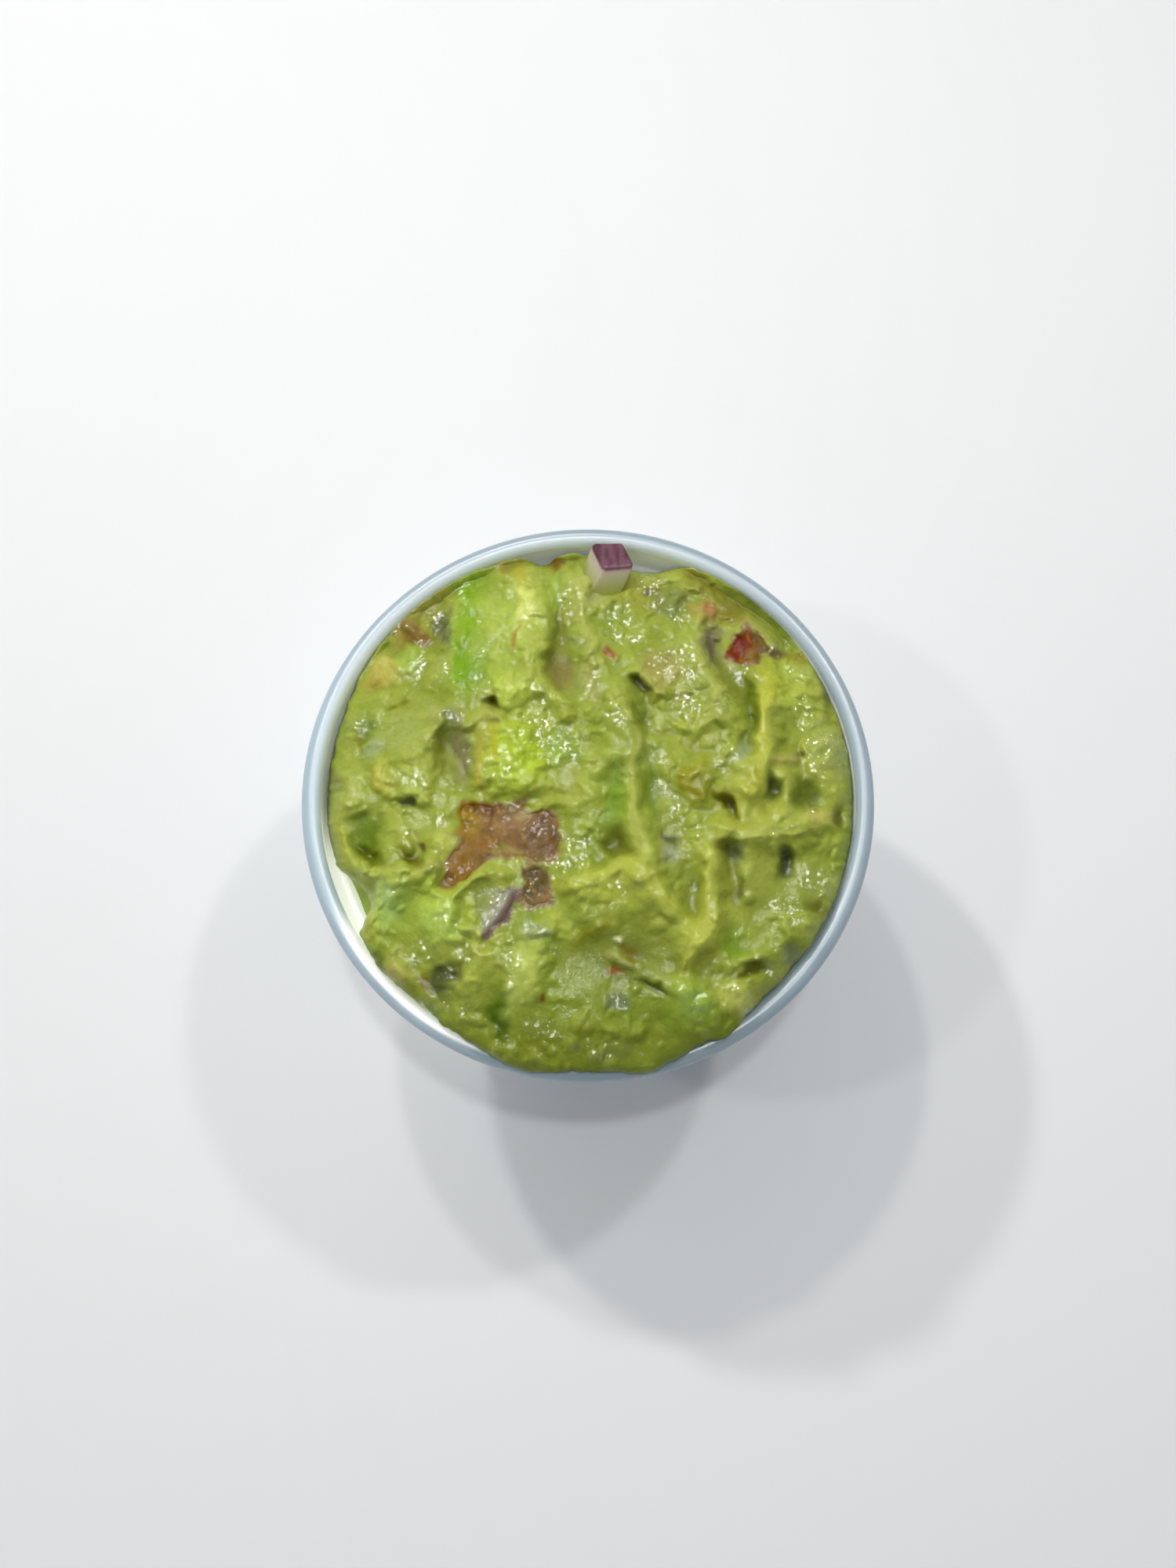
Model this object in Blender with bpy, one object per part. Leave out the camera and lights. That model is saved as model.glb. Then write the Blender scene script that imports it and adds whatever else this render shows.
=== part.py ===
"""Guacamole heaped in a round plastic portion cup, with diced tomato and red onion in it.

Lengths below are in millimetres. A vertex is turned into metres as it is made.
The cup stands on Z = 0, centred on the Z axis, and its front is at -Y.
"""

import math

import bmesh
import bpy
import numpy as np

MM = 0.001
GAP = 0.3  # left between pieces that touch

# Cup: a thin turned wall with a rolled rim
CUP_HEIGHT = 41.0
RIM_RADIUS = 37.0
BEAD_RADIUS = 1.3
WALL = 0.6
CREASE_DEPTH = 2.2  # below the rim, where the bead meets the wall
BAND_DEPTH = 4.6  # end of the upright band under the bead
LEDGE_DEPTH = 5.0  # foot of the ledge that cups stack on
CREASE_RADIUS = 34.35
BAND_RADIUS = 33.9
LEDGE_RADIUS = 33.1
FLOOR_RADIUS = 27.0
FLOOR_HEIGHT = 1.6
CORNER = 2.2
FOOT_RADIUS = 25.6
RECESS_RADIUS = 22.5
RECESS_HEIGHT = 0.9
CUP_STEPS = 64

# Heap: its crown lies a little to the front of the cup's axis
CROWN_PLACE = (0.0, -8.0)
CROWN_HEIGHT = 5.6
CROWN_FALL = 6.6
CROWN_REACH = 36.0
HEAP_CELLS = 56
HEAP_SOFTENING = 3  # passes that take the sawteeth off steep slopes
EDGE_ROUND = 2.4

# The relief is drawn on a level plane DRAWN_AT above the rim, and slid from there
# to its own height along lines from LEAN_POINT, so that the peaks lean to the front
DRAWN_AT = 4.0
LEAN_POINT = (0.0, -44.9, 161.9)

# Edge of the heap round the cup: degrees from +X, radius, height above the rim.
# It lies inside the wall, and laps over the rim at the front
HEAP_EDGE = [
    (0, 34.0, -1.5), (45, 34.1, -0.6), (66, 33.9, -0.6), (74, 33.2, -4.6), (98, 33.2, -4.6),
    (105, 33.2, 0.2), (130, 34.1, -0.5), (152, 34.0, -0.8), (162, 33.9, -2.2), (195, 33.7, -2.8),
    (203, 31.7, -4.2), (208, 31.9, -3.2), (214, 34.0, 0.2), (235, 33.8, 1.0), (245, 35.2, 1.1),
    (257, 36.6, 0.9), (269, 35.7, 1.2), (283, 36.5, 0.9), (293, 35.2, 1.0), (299, 36.0, 1.0),
    (306, 34.2, 0.7), (313, 33.9, -0.4), (360, 34.0, -1.5),
]

# Torn crests: path over the heap, height, reach to the left and to the right of the path
CRESTS = {
    "spine_top": ([(-2.5, 28), (-1.6, 24.5), (-0.3, 21), (1.2, 15.5)], 1.5, 1.0, 1.0),
    "spine": ([(1.2, 15.5), (3.6, 11), (5.5, 6.3), (5.9, 4.8), (5.1, 0.3)], 2.4, 0.8, 4.0),
    "spine_foot": ([(5.1, 0.3), (5.5, -5), (6.3, -7.5), (7.6, -12)], 2.0, 1.2, 1.0),
    "back_lobe": ([(-6.6, 27), (-6.2, 20), (-6.1, 15), (-5.3, 12.2), (-3.8, 10.9)], 1.4, 0.9, 4.0),
    "east_lobe": ([(14.4, 21.5), (15, 15), (16.5, 12.3), (18.8, 7.5), (18.4, 5.5)], 2.6, 0.8, 5.0),
    "pit_lip": ([(5.4, 15.7), (8.3, 12.6), (11.5, 11.5)], 1.3, 3.0, 0.6),
    "rim_ridge": ([(8.5, 27.8), (14.5, 26.8), (20, 22.5), (26.3, 17.3)], 1.3, 0.9, 1.4),
    "tee_stem": ([(21.7, 15.2), (23, 10), (22.3, 5), (21.2, 0.5), (17, -6)], 2.6, 1.6, 0.9),
    "tee_arm": ([(15.2, -7), (18, -6.2), (21, -6.8), (30, -5.4)], 2.0, 1.8, 0.9),
    "valley_crest": ([(13.3, -7.6), (15.4, -12), (15.2, -17.8), (11.3, -25)], 2.3, 1.0, 1.1),
    "front_lobe": (
        [(-5, -16.5), (0.8, -13.1), (3.5, -10.8), (7.3, -12.3), (11.4, -17.4), (12.9, -20.3)],
        1.9, 0.7, 4.0,
    ),
    "front_ridge": ([(-10.8, -20.3), (-13.3, -25.3), (-15, -28)], 1.2, 2.0, 1.0),
    "slab_side": ([(-20.2, 10), (-19.1, 7.1), (-20.2, 2.4)], 1.8, 0.6, 4.0),
    "slab_foot": ([(-20.2, 2.0), (-24, 2.4), (-27.5, 1.5)], 1.5, 0.6, 4.0),
    "shelf": ([(-27, -1), (-23, 0.1), (-18.5, -1.6)], 1.3, 1.5, 1.2),
    "left_blade": ([(-25.2, -5), (-24.2, -11), (-23, -12.3)], 1.4, 1.2, 0.8),
    "wall_ridge": ([(-30.6, -5), (-30.8, -8), (-28.8, -13.8)], 1.3, 0.8, 1.0),
    "corner_lobe": ([(-27.2, -11.2), (-22, -12), (-20, -11.1), (-17.5, -13), (-14, -14.6)], 2.4, 0.6, 4.5),
}

# Hollows and lumps: centre on the heap, half width and half length, turn in degrees, depth or height
HOLLOWS = {
    "back_valley": ((-3.9, 16.5), (2.4, 6.2), 0, 2.2),
    "back_pit": ((6.6, 12.8), (1.9, 1.2), -25, 3.0),
    "spine_valley": ((7.0, 6.0), (1.3, 6.5), 3, 1.8),
    "east_valley": ((19.3, 10), (1.7, 6.5), 18, 2.4),
    "east_hole": ((16.8, -3.2), (1.4, 2.2), 20, 3.2),
    "ring_pit": ((23.9, -1), (1.1, 2.3), 10, 2.6),
    "side_hollow": ((27, -1.8), (1.6, 2.4), -20, 1.6),
    "flap_pit": ((17.8, -9.8), (1.4, 2.6), 0, 3.0),
    "deep_hole": ((24.5, -10.9), (1.1, 1.6), -10, 3.2),
    "tent_pit": ((3.9, -9.0), (1.8, 3.0), 0, 2.6),
    "low_valley": ((13, -16.5), (1.5, 4.0), -10, 1.8),
    "arch_pit": ((-12.3, 9.6), (1.3, 1.0), 0, 2.0),
    "shelf_pit": ((-22.2, -3.4), (1.8, 1.0), 0, 1.5),
    "left_bowl": ((-26.6, -8.4), (2.6, 3.4), -30, 2.0),
    "brown_pit": ((-20.9, -10.4), (1.2, 1.4), -30, 1.6),
    "olive_valley": ((-18.3, 3.5), (1.2, 5.5), 8, 1.5),
    "front_hollow": ((19.3, -24.2), (2.3, 1.1), 20, 1.8),
    "front_seat": ((-16.8, -25.8), (2.1, 2.6), 0, 1.2),
    "lobe_fall": ((4.5, -22), (6.0, 3.5), 0, 1.4),
}
LUMPS = {
    "bright_chunk": ((-10.3, 3), (3.4, 5.8), -8, 1.4),
    "back_dome": ((-11.5, 19.5), (5.5, 9.5), 0, 1.2),
    "back_peak": ((-10, 28.2), (3.8, 2.6), 0, 2.2),
    "yellow_lump": ((-9.7, 12.2), (2.7, 1.9), 0, 1.3),
    "green_tip": ((-15.4, 9), (1.6, 2.0), 0, 1.1),
    "pocket_lump": ((-23, 20.3), (2.6, 3.3), 0, 1.0),
    "left_lump": ((-26.2, 14.6), (2.3, 2.0), 10, 0.9),
    "east_knob": ((15.2, 8.2), (2.6, 2.2), 0, 1.2),
    "middle_knob": ((10.2, 2.3), (2.6, 2.2), 0, 1.0),
    "tan_knob": ((13.8, -1.5), (1.9, 3.2), -15, 1.2),
    "east_lump": ((29.8, 4.5), (2.0, 3.3), 10, 1.3),
    "arm_lump": ((28.5, -5.5), (2.3, 1.8), 0, 1.0),
    "pale_lump": ((-25, -0.7), (1.5, 2.2), 0, 1.2),
    "left_cluster": ((-29.2, -0.8), (2.3, 3.4), 0, 1.0),
    "tongue": ((-10.8, -12), (3.1, 2.2), -20, 1.8),
    "tomato_side": ((-17.2, -8), (1.5, 2.8), 0, 1.2),
    "bubble_dome": ((-6.3, -19.2), (3.2, 3.0), 0, 0.7),
    "corner_chunk": ((-22.7, -24.6), (1.9, 2.2), 20, 1.0),
    "front_chunk": ((-7.9, -26), (2.2, 4.2), -12, 1.4),
    "front_green": ((12, -28), (3.0, 2.8), 0, 1.6),
    "front_yellow": ((17.7, -27), (1.9, 2.0), 0, 1.4),
}

# Diced pieces: outline on the heap, how far the top stands out of it, and how deep the piece goes
DICE = {
    "tomato_large": (
        [(-15.8, -3.3), (-12.5, -3.2), (-9, -3.9), (-4.2, -3.9), (-3.6, -8.2), (-5, -10.2),
         (-8.3, -9.6), (-11.8, -9.6), (-13.4, -10.6), (-14.8, -12.8), (-17.2, -13.2), (-15.8, -8.3)],
        -0.5, 5.0,
    ),
    "tomato_lower": (
        [(-7.7, -12.3), (-5.3, -12.1), (-4.9, -13.6), (-5.3, -15.2), (-6.6, -16.1), (-8.2, -14.6)],
        -0.6, 4.0,
    ),
    "tomato_wedge": (
        [(18, 16.7), (19.2, 18.4), (20.8, 20.7), (22.1, 19.5), (23.3, 17.5), (21.6, 16.1), (20, 15.8)],
        0.3, 4.0,
    ),
    "onion_wedge": (
        [(-13.8, -14.8), (-11, -14.0), (-8.5, -14.2), (-9.3, -16.4), (-11, -19), (-12.6, -20.2), (-13, -18)],
        0.4, 3.5,
    ),
}
DICE_BEVEL = 0.5

# The onion cube at the back by the rim: corners of its skin and of its buried end,
# each as X, Y and height above the rim
ONION_SKIN = [(0.7, 33.2, 1.2), (4.8, 33.2, 1.2), (6.2, 29.8, 2.2), (2.3, 29.3, 2.4)]
ONION_ROOT = [(-1.5, 28.0, -3.5), (2.5, 28.0, -3.5), (3.2, 24.2, -1.6), (-0.8, 23.8, -1.4)]

COLOURS = {
    "cup": ((0.74, 0.82, 0.87), 0.35),
    "guacamole": ((0.42, 0.47, 0.09), 0.3),
    "tomato_large": ((0.45, 0.16, 0.06), 0.25),
    "tomato_lower": ((0.30, 0.09, 0.05), 0.25),
    "tomato_wedge": ((0.55, 0.16, 0.04), 0.25),
    "onion_wedge": ((0.62, 0.58, 0.52), 0.25),
    "onion_cube": ((0.60, 0.62, 0.45), 0.25),
}


def clear_scene():
    for item in list(bpy.data.objects):
        bpy.data.objects.remove(item)


def material(name):
    colour, roughness = COLOURS[name]
    made = bpy.data.materials.new(name)
    made.use_nodes = True
    shader = made.node_tree.nodes["Principled BSDF"]
    shader.inputs["Base Color"].default_value = (*colour, 1.0)
    shader.inputs["Roughness"].default_value = roughness
    shader.inputs["Metallic"].default_value = 0.0
    return made


def add_object(name, mesh):
    item = bpy.data.objects.new(name, mesh)
    bpy.context.scene.collection.objects.link(item)
    mesh.materials.append(material(name))
    return item


def mesh_from(name, shape):
    bmesh.ops.recalc_face_normals(shape, faces=shape.faces)
    mesh = bpy.data.meshes.new(name)
    shape.to_mesh(mesh)
    shape.free()
    return mesh


# Cup


def arc(centre, radius, start, end, count):
    angles = [math.radians(start + (end - start) * k / count) for k in range(count + 1)]
    return [(centre[0] + radius * math.cos(a), centre[1] + radius * math.sin(a)) for a in angles]


def cup_profile():
    """Radius and height of the closed wall section, from the axis inside to the axis below."""
    bead = (RIM_RADIUS - BEAD_RADIUS, CUP_HEIGHT - BEAD_RADIUS)
    inside = [(0.0, FLOOR_HEIGHT)]
    inside += arc((FLOOR_RADIUS - CORNER, FLOOR_HEIGHT + CORNER), CORNER, -90, -10, 3)
    inside += [
        (LEDGE_RADIUS, CUP_HEIGHT - LEDGE_DEPTH),
        (BAND_RADIUS, CUP_HEIGHT - BAND_DEPTH),
        (CREASE_RADIUS, CUP_HEIGHT - CREASE_DEPTH),
    ]
    rim = arc(bead, BEAD_RADIUS, 180, -60, 8)
    outside = [
        (CREASE_RADIUS + WALL, CUP_HEIGHT - CREASE_DEPTH - 0.3),
        (BAND_RADIUS + WALL, CUP_HEIGHT - LEDGE_DEPTH),
        (LEDGE_RADIUS + WALL, CUP_HEIGHT - LEDGE_DEPTH - WALL),
    ]
    base = arc((FOOT_RADIUS, CORNER), CORNER, -10, -90, 3)
    base += [
        (RECESS_RADIUS + RECESS_HEIGHT, 0.0),
        (RECESS_RADIUS, RECESS_HEIGHT),
        (0.0, RECESS_HEIGHT),
    ]
    return inside + rim + outside + base


def build_cup():
    shape = bmesh.new()
    corners = [shape.verts.new((r * MM, 0.0, z * MM)) for r, z in cup_profile()]
    edges = [shape.edges.new(pair) for pair in zip(corners, corners[1:])]
    bmesh.ops.spin(
        shape,
        geom=corners + edges,
        cent=(0, 0, 0),
        axis=(0, 0, 1),
        angle=math.tau,
        steps=CUP_STEPS,
        use_duplicate=False,
    )
    bmesh.ops.remove_doubles(shape, verts=shape.verts, dist=0.00001)
    cup = add_object("cup", mesh_from("cup", shape))
    cup.data.shade_smooth()
    cup.data.set_sharp_from_angle(angle=math.radians(40))
    return cup


def wall_radius(height):
    """Inner radius of the cup at a height above the rim, which is below zero inside it."""
    foot = FLOOR_HEIGHT + CORNER - CUP_HEIGHT
    heights = [foot, -LEDGE_DEPTH, -BAND_DEPTH, -CREASE_DEPTH, 0.0]
    radii = [FLOOR_RADIUS, LEDGE_RADIUS, BAND_RADIUS, CREASE_RADIUS, CREASE_RADIUS]
    return np.interp(height, heights, radii)


# Heap


def to_space(u, v, height):
    """Where a point drawn at (u, v) lies once it is slid to its height above the rim."""
    share = (LEAN_POINT[2] - height) / (LEAN_POINT[2] - DRAWN_AT)
    return LEAN_POINT[0] + (u - LEAN_POINT[0]) * share, LEAN_POINT[1] + (v - LEAN_POINT[1]) * share


def to_drawing(x, y, height):
    share = (LEAN_POINT[2] - DRAWN_AT) / (LEAN_POINT[2] - height)
    return LEAN_POINT[0] + (x - LEAN_POINT[0]) * share, LEAN_POINT[1] + (y - LEAN_POINT[1]) * share


def smooth_step(t):
    t = np.clip(t, 0, 1)
    return t * t * (3 - 2 * t)


def noise(u, v, scale, seed):
    """Smooth random height from -1 to 1, the same each time for one seed."""
    table = np.random.default_rng(seed).uniform(-1, 1, (128, 128))
    a, b = u / scale + 64, v / scale + 64
    i, j = np.floor(a).astype(int), np.floor(b).astype(int)
    s, t = smooth_step(a - i), smooth_step(b - j)
    low = table[i, j] * (1 - s) + table[i + 1, j] * s
    high = table[i, j + 1] * (1 - s) + table[i + 1, j + 1] * s
    return low * (1 - t) + high * t


def smooth_path(points, steps=4):
    """A path through the points with no corners."""
    p = np.array(points, float)
    ends = np.vstack([2 * p[0] - p[1], p, 2 * p[-1] - p[-2]])
    path = []
    for a, b, c, d in zip(ends, ends[1:], ends[2:], ends[3:]):
        for t in np.arange(steps) / steps:
            bend = 2 * a - 5 * b + 4 * c - d
            turn = 3 * b - a - 3 * c + d
            path.append(0.5 * (2 * b + (c - a) * t + bend * t**2 + turn * t**3))
    return np.array(path + [p[-1]])


def crest(u, v, points, height, left, right):
    """A torn ridge: highest on its path, and falling off over its own reach on each side."""
    path = smooth_path(points)
    start, step = path[:-1, None, None], np.diff(path, axis=0)[:, None, None]
    length = np.hypot(step[..., 0], step[..., 1])
    to_u, to_v = u - start[..., 0], v - start[..., 1]
    t = np.clip((to_u * step[..., 0] + to_v * step[..., 1]) / length**2, 0, 1)
    off_u, off_v = to_u - t * step[..., 0], to_v - t * step[..., 1]
    distance = np.hypot(off_u, off_v)
    sine = (step[..., 0] * off_v - step[..., 1] * off_u) / (length * (distance + 1e-6))
    nearest = distance.min(axis=0)
    weight = np.exp((nearest - distance) / 0.45)
    weight /= weight.sum(axis=0)
    side = (weight * sine).sum(axis=0)
    along = (weight * (np.arange(len(step))[:, None, None] + t)).sum(axis=0) / len(step)
    body = smooth_step(np.minimum(along, 1 - along) / 0.22)
    reach = right + (left - right) * (0.5 + 0.5 * np.sin(side * np.pi / 2))
    narrow = min(left, right)
    reach = narrow + (reach - narrow) * (0.35 + 0.65 * body)
    far = nearest / reach
    fall = np.exp(-1.15 * (np.sqrt(far**2 + 0.05) - np.sqrt(0.05)))
    return height * fall * (0.3 + 0.7 * body) * np.clip((3.6 - far) / 1.2, 0, 1)


def lump(u, v, centre, radii, turn, height):
    c, s = math.cos(math.radians(turn)), math.sin(math.radians(turn))
    a, b = u - centre[0], v - centre[1]
    far = ((a * c + b * s) / radii[0]) ** 2 + ((b * c - a * s) / radii[1]) ** 2
    return height * np.exp(-0.9 * far**1.4)


def relief(u, v):
    """Height of the heap above the rim, on arrays of drawn places."""
    wander_u = u + 0.5 * noise(u, v, 2.6, 11)
    wander_v = v + 0.5 * noise(u, v, 2.6, 13)
    away = np.hypot(u - CROWN_PLACE[0], v - CROWN_PLACE[1])
    height = CROWN_HEIGHT - CROWN_FALL * (away / CROWN_REACH) ** 3
    for points, rise, left, right in CRESTS.values():
        height = height + crest(wander_u, wander_v, points, rise, left, right)
    for centre, radii, turn, depth in HOLLOWS.values():
        height = height - lump(wander_u, wander_v, centre, radii, turn, depth)
    for centre, radii, turn, rise in LUMPS.values():
        height = height + lump(wander_u, wander_v, centre, radii, turn, rise)
    return height + 0.35 * noise(u, v, 3.4, 21)


def heap_edge(degrees):
    """Radius and height of the heap's edge at angles from 0 to 360 degrees."""
    table = np.array(HEAP_EDGE, float)
    after = np.clip(np.searchsorted(table[:, 0], degrees, side="right"), 1, len(table) - 1)
    low, high = table[after - 1], table[after]
    share = smooth_step((degrees - low[..., 0]) / (high[..., 0] - low[..., 0]))[..., None]
    row = low + (high - low) * share
    return row[..., 1], row[..., 2]


def disc_grid(cells):
    """A square grid bent smoothly into a disc: radius from 0 to 1, and angle."""
    line = np.linspace(-1, 1, cells + 1)
    a, b = np.meshgrid(line, line, indexing="ij")
    x, y = a * np.sqrt(1 - b**2 / 2), b * np.sqrt(1 - a**2 / 2)
    return np.hypot(x, y), np.degrees(np.arctan2(y, x)) % 360


def heap_top(cells):
    """Corners of the top surface in space, as arrays over the grid."""
    share, degrees = disc_grid(cells)
    radius, edge_height = heap_edge(degrees)
    edge_x = radius * np.cos(np.radians(degrees))
    edge_y = radius * np.sin(np.radians(degrees))
    edge_u, edge_v = to_drawing(edge_x, edge_y, edge_height)
    u, v = share * edge_u, share * edge_v
    rise = relief(u, v)
    for _ in range(HEAP_SOFTENING):
        inner = rise[1:-1, 1:-1]
        beside = rise[:-2, 1:-1] + rise[2:, 1:-1] + rise[1:-1, :-2] + rise[1:-1, 2:]
        rise[1:-1, 1:-1] = 0.6 * inner + 0.1 * beside
    inward = np.clip((1 - share) * radius / EDGE_ROUND, 0, 1)
    shoulder = np.sqrt(1 - (1 - inward) ** 2)
    height = edge_height + np.maximum(rise - edge_height, -inward) * shoulder
    x, y = to_space(u, v, height)
    most = np.where(height > 0.3, RIM_RADIUS, wall_radius(height) - GAP)
    pull = np.minimum(1, most / np.maximum(np.hypot(x, y), 1e-6))
    return x * pull, y * pull, height


def heap_sides(edge):
    """Rings under the edge: over the rim at the front, down the wall, and in along the floor."""
    radius = np.hypot(edge[:, 0], edge[:, 1])
    out = edge[:, :2] / radius[:, None]
    height = edge[:, 2]
    floor = FLOOR_HEIGHT - CUP_HEIGHT
    laps = height > GAP + 0.1
    levels = [
        np.where(laps, GAP + 0.2, height - 0.4),
        np.where(laps, GAP + 0.05, height - 0.8),
        np.minimum(-4.2, height - 1.6),
        np.minimum(-8.0, height - 3.4),
        np.full_like(height, floor + CORNER),
        np.full_like(height, floor + GAP + 0.05),
    ]
    rings = []
    for place, level in enumerate(levels):
        reach = np.minimum(radius, wall_radius(level) - GAP - 0.1)
        if place == 0:
            reach = np.where(laps, radius - 0.15, reach)
        if place > 1:
            reach = np.minimum(reach, LEDGE_RADIUS - GAP - 0.1)
        if place == len(levels) - 1:
            reach = np.full_like(radius, FLOOR_RADIUS - CORNER)
        rings.append(np.column_stack([out * reach[:, None], level]))
    return rings


def build_heap():
    cells = HEAP_CELLS
    x, y, height = heap_top(cells)
    index = np.arange((cells + 1) ** 2).reshape(cells + 1, cells + 1)
    points = [np.column_stack([x.ravel(), y.ravel(), height.ravel()])]
    quads = np.stack([index[:-1, :-1], index[1:, :-1], index[1:, 1:], index[:-1, 1:]], -1)
    faces = quads.reshape(-1, 4).tolist()
    border = np.concatenate([index[:-1, 0], index[-1, :-1], index[:0:-1, -1], index[0, :0:-1]])
    above = border
    for ring in heap_sides(points[0][border]):
        below = sum(len(p) for p in points) + np.arange(len(border))
        points.append(ring)
        sides = np.stack([above, below, np.roll(below, -1), np.roll(above, -1)], -1)
        faces += sides.tolist()
        above = below
    faces.append(above.tolist()[::-1])
    places = np.vstack(points) + (0, 0, CUP_HEIGHT)
    mesh = bpy.data.meshes.new("guacamole")
    mesh.from_pydata((places * MM).tolist(), [], faces)
    heap = add_object("guacamole", mesh)
    mesh.shade_smooth()
    return heap


# Diced pieces


def grown_outline(points, by):
    """The outline moved outwards by a distance, along the middle of each corner."""
    p = np.array(points, float)
    before, after = p - np.roll(p, 1, 0), np.roll(p, -1, 0) - p
    normals = [np.column_stack([d[:, 1], -d[:, 0]]) / np.hypot(*d.T)[:, None] for d in (before, after)]
    turning = np.sum(before[:, 0] * after[:, 1] - before[:, 1] * after[:, 0])
    middle = normals[0] + normals[1]
    middle *= 2 / np.sum(middle**2, axis=1)[:, None]
    return p + by * np.sign(turning) * middle


def prism(points, top, bottom, bevel):
    """A straight block over an outline drawn on the heap, with its upper edge rounded."""
    shape = bmesh.new()
    corners = []
    for u, v in points:
        x, y = to_space(u, v, top)
        corners.append(shape.verts.new((x * MM, y * MM, (CUP_HEIGHT + bottom) * MM)))
    floor = shape.faces.new(corners)
    raised = bmesh.ops.extrude_face_region(shape, geom=[floor])
    lifted = [e for e in raised["geom"] if isinstance(e, bmesh.types.BMVert)]
    bmesh.ops.translate(shape, verts=lifted, vec=(0, 0, (top - bottom) * MM))
    if bevel:
        rim = [e for e in shape.edges if all(v in lifted for v in e.verts)]
        bmesh.ops.bevel(shape, geom=rim, offset=bevel * MM, segments=2, affect="EDGES", profile=0.5)
    return shape


def hull(corners):
    shape = bmesh.new()
    for x, y, z in corners:
        shape.verts.new((x * MM, y * MM, (CUP_HEIGHT + z) * MM))
    bmesh.ops.convex_hull(shape, input=shape.verts)
    return shape


def dice_top(outline, lift):
    middle = np.array(outline).mean(axis=0)
    places = np.vstack([middle, 0.5 * (np.array(outline) + middle)])
    return float(relief(places[:, :1], places[:, 1:]).mean()) + lift


def add_cutter(name, shape):
    cutter = bpy.data.objects.new(name + "_pocket", mesh_from(name + "_pocket", shape))
    cutter.hide_render = True
    cutter.display_type = "WIRE"
    return cutter


def build_dice():
    """The diced pieces, and for each a cutter that is larger by the gap and open above."""
    cutters = []
    for name, (outline, lift, depth) in DICE.items():
        top = dice_top(outline, lift)
        block = prism(outline, top, top - depth, DICE_BEVEL)
        add_object(name, mesh_from(name, block))
        pocket = prism(grown_outline(outline, GAP), top, top - depth - GAP, 0)
        for corner in pocket.verts:
            if corner.co.z > (CUP_HEIGHT + top - 0.5 * depth) * MM:
                corner.co.z += 8 * MM
        cutters.append(add_cutter(name, pocket))
    corners = np.array(ONION_SKIN + ONION_ROOT)
    cube = hull(corners)
    bmesh.ops.bevel(cube, geom=cube.edges[:], offset=0.25 * MM, segments=1, affect="EDGES", profile=0.5)
    add_object("onion_cube", mesh_from("onion_cube", cube))
    away = corners - corners.mean(axis=0)
    away /= np.linalg.norm(away, axis=1)[:, None]
    cutters.append(add_cutter("onion_cube", hull(corners + 2 * GAP * away)))
    return cutters


def cut_pockets(heap, cutters):
    """Cuts the seats of the diced pieces out of the heap, and keeps the result as its mesh."""
    pockets = bpy.data.collections.new("pockets")
    bpy.context.scene.collection.children.link(pockets)
    for cutter in cutters:
        pockets.objects.link(cutter)
    cut = heap.modifiers.new("pockets", "BOOLEAN")
    cut.operation = "DIFFERENCE"
    cut.operand_type = "COLLECTION"
    cut.collection = pockets
    cut.solver = "EXACT"
    bpy.context.view_layer.update()
    ready = heap.evaluated_get(bpy.context.evaluated_depsgraph_get())
    mesh = bpy.data.meshes.new_from_object(ready)
    heap.modifiers.clear()
    heap.data = mesh
    for cutter in cutters:
        bpy.data.objects.remove(cutter)
    bpy.data.collections.remove(pockets)


def main():
    clear_scene()
    build_cup()
    heap = build_heap()
    cut_pockets(heap, build_dice())


main()
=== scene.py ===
import math

import bmesh
import bpy
import numpy as np
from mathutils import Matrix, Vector


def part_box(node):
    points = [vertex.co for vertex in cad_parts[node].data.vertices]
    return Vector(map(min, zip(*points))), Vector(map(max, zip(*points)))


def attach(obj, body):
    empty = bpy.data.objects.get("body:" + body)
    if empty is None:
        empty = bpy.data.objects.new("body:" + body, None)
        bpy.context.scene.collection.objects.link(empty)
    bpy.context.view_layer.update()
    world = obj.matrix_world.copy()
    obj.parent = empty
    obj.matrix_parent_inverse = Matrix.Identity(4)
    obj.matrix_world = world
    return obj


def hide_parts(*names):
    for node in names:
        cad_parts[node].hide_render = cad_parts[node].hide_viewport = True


# Lengths are in millimetres with the rim's top at height 0, and toMetres puts them in the frame
mm = 0.001
cupHeight = 41.0

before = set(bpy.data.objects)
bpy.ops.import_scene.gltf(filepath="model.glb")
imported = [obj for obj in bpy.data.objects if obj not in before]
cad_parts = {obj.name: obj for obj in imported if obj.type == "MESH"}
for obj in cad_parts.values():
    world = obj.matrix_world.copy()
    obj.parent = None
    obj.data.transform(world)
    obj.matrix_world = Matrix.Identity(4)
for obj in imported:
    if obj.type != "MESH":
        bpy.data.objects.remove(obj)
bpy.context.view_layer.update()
print("frame loaded:", sorted(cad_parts))


def toMetres(points):
    return (np.asarray(points, float) + (0, 0, cupHeight)) * mm


def srgb(red, green, blue):
    # Linear colour of a shade in steps of 0 to 255
    shade = np.array([red, green, blue], float) / 255
    return np.where(shade < 0.04045, shade / 12.92, ((shade + 0.055) / 1.055) ** 2.4)


def blend(colour, shade, amount):
    # Lays a shade over the colour, as strongly as amount says at each place
    return colour + (srgb(*shade) - colour) * np.asarray(amount)[..., None]


def smoothStep(t):
    t = np.clip(t, 0, 1)
    return t * t * (3 - 2 * t)


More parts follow.
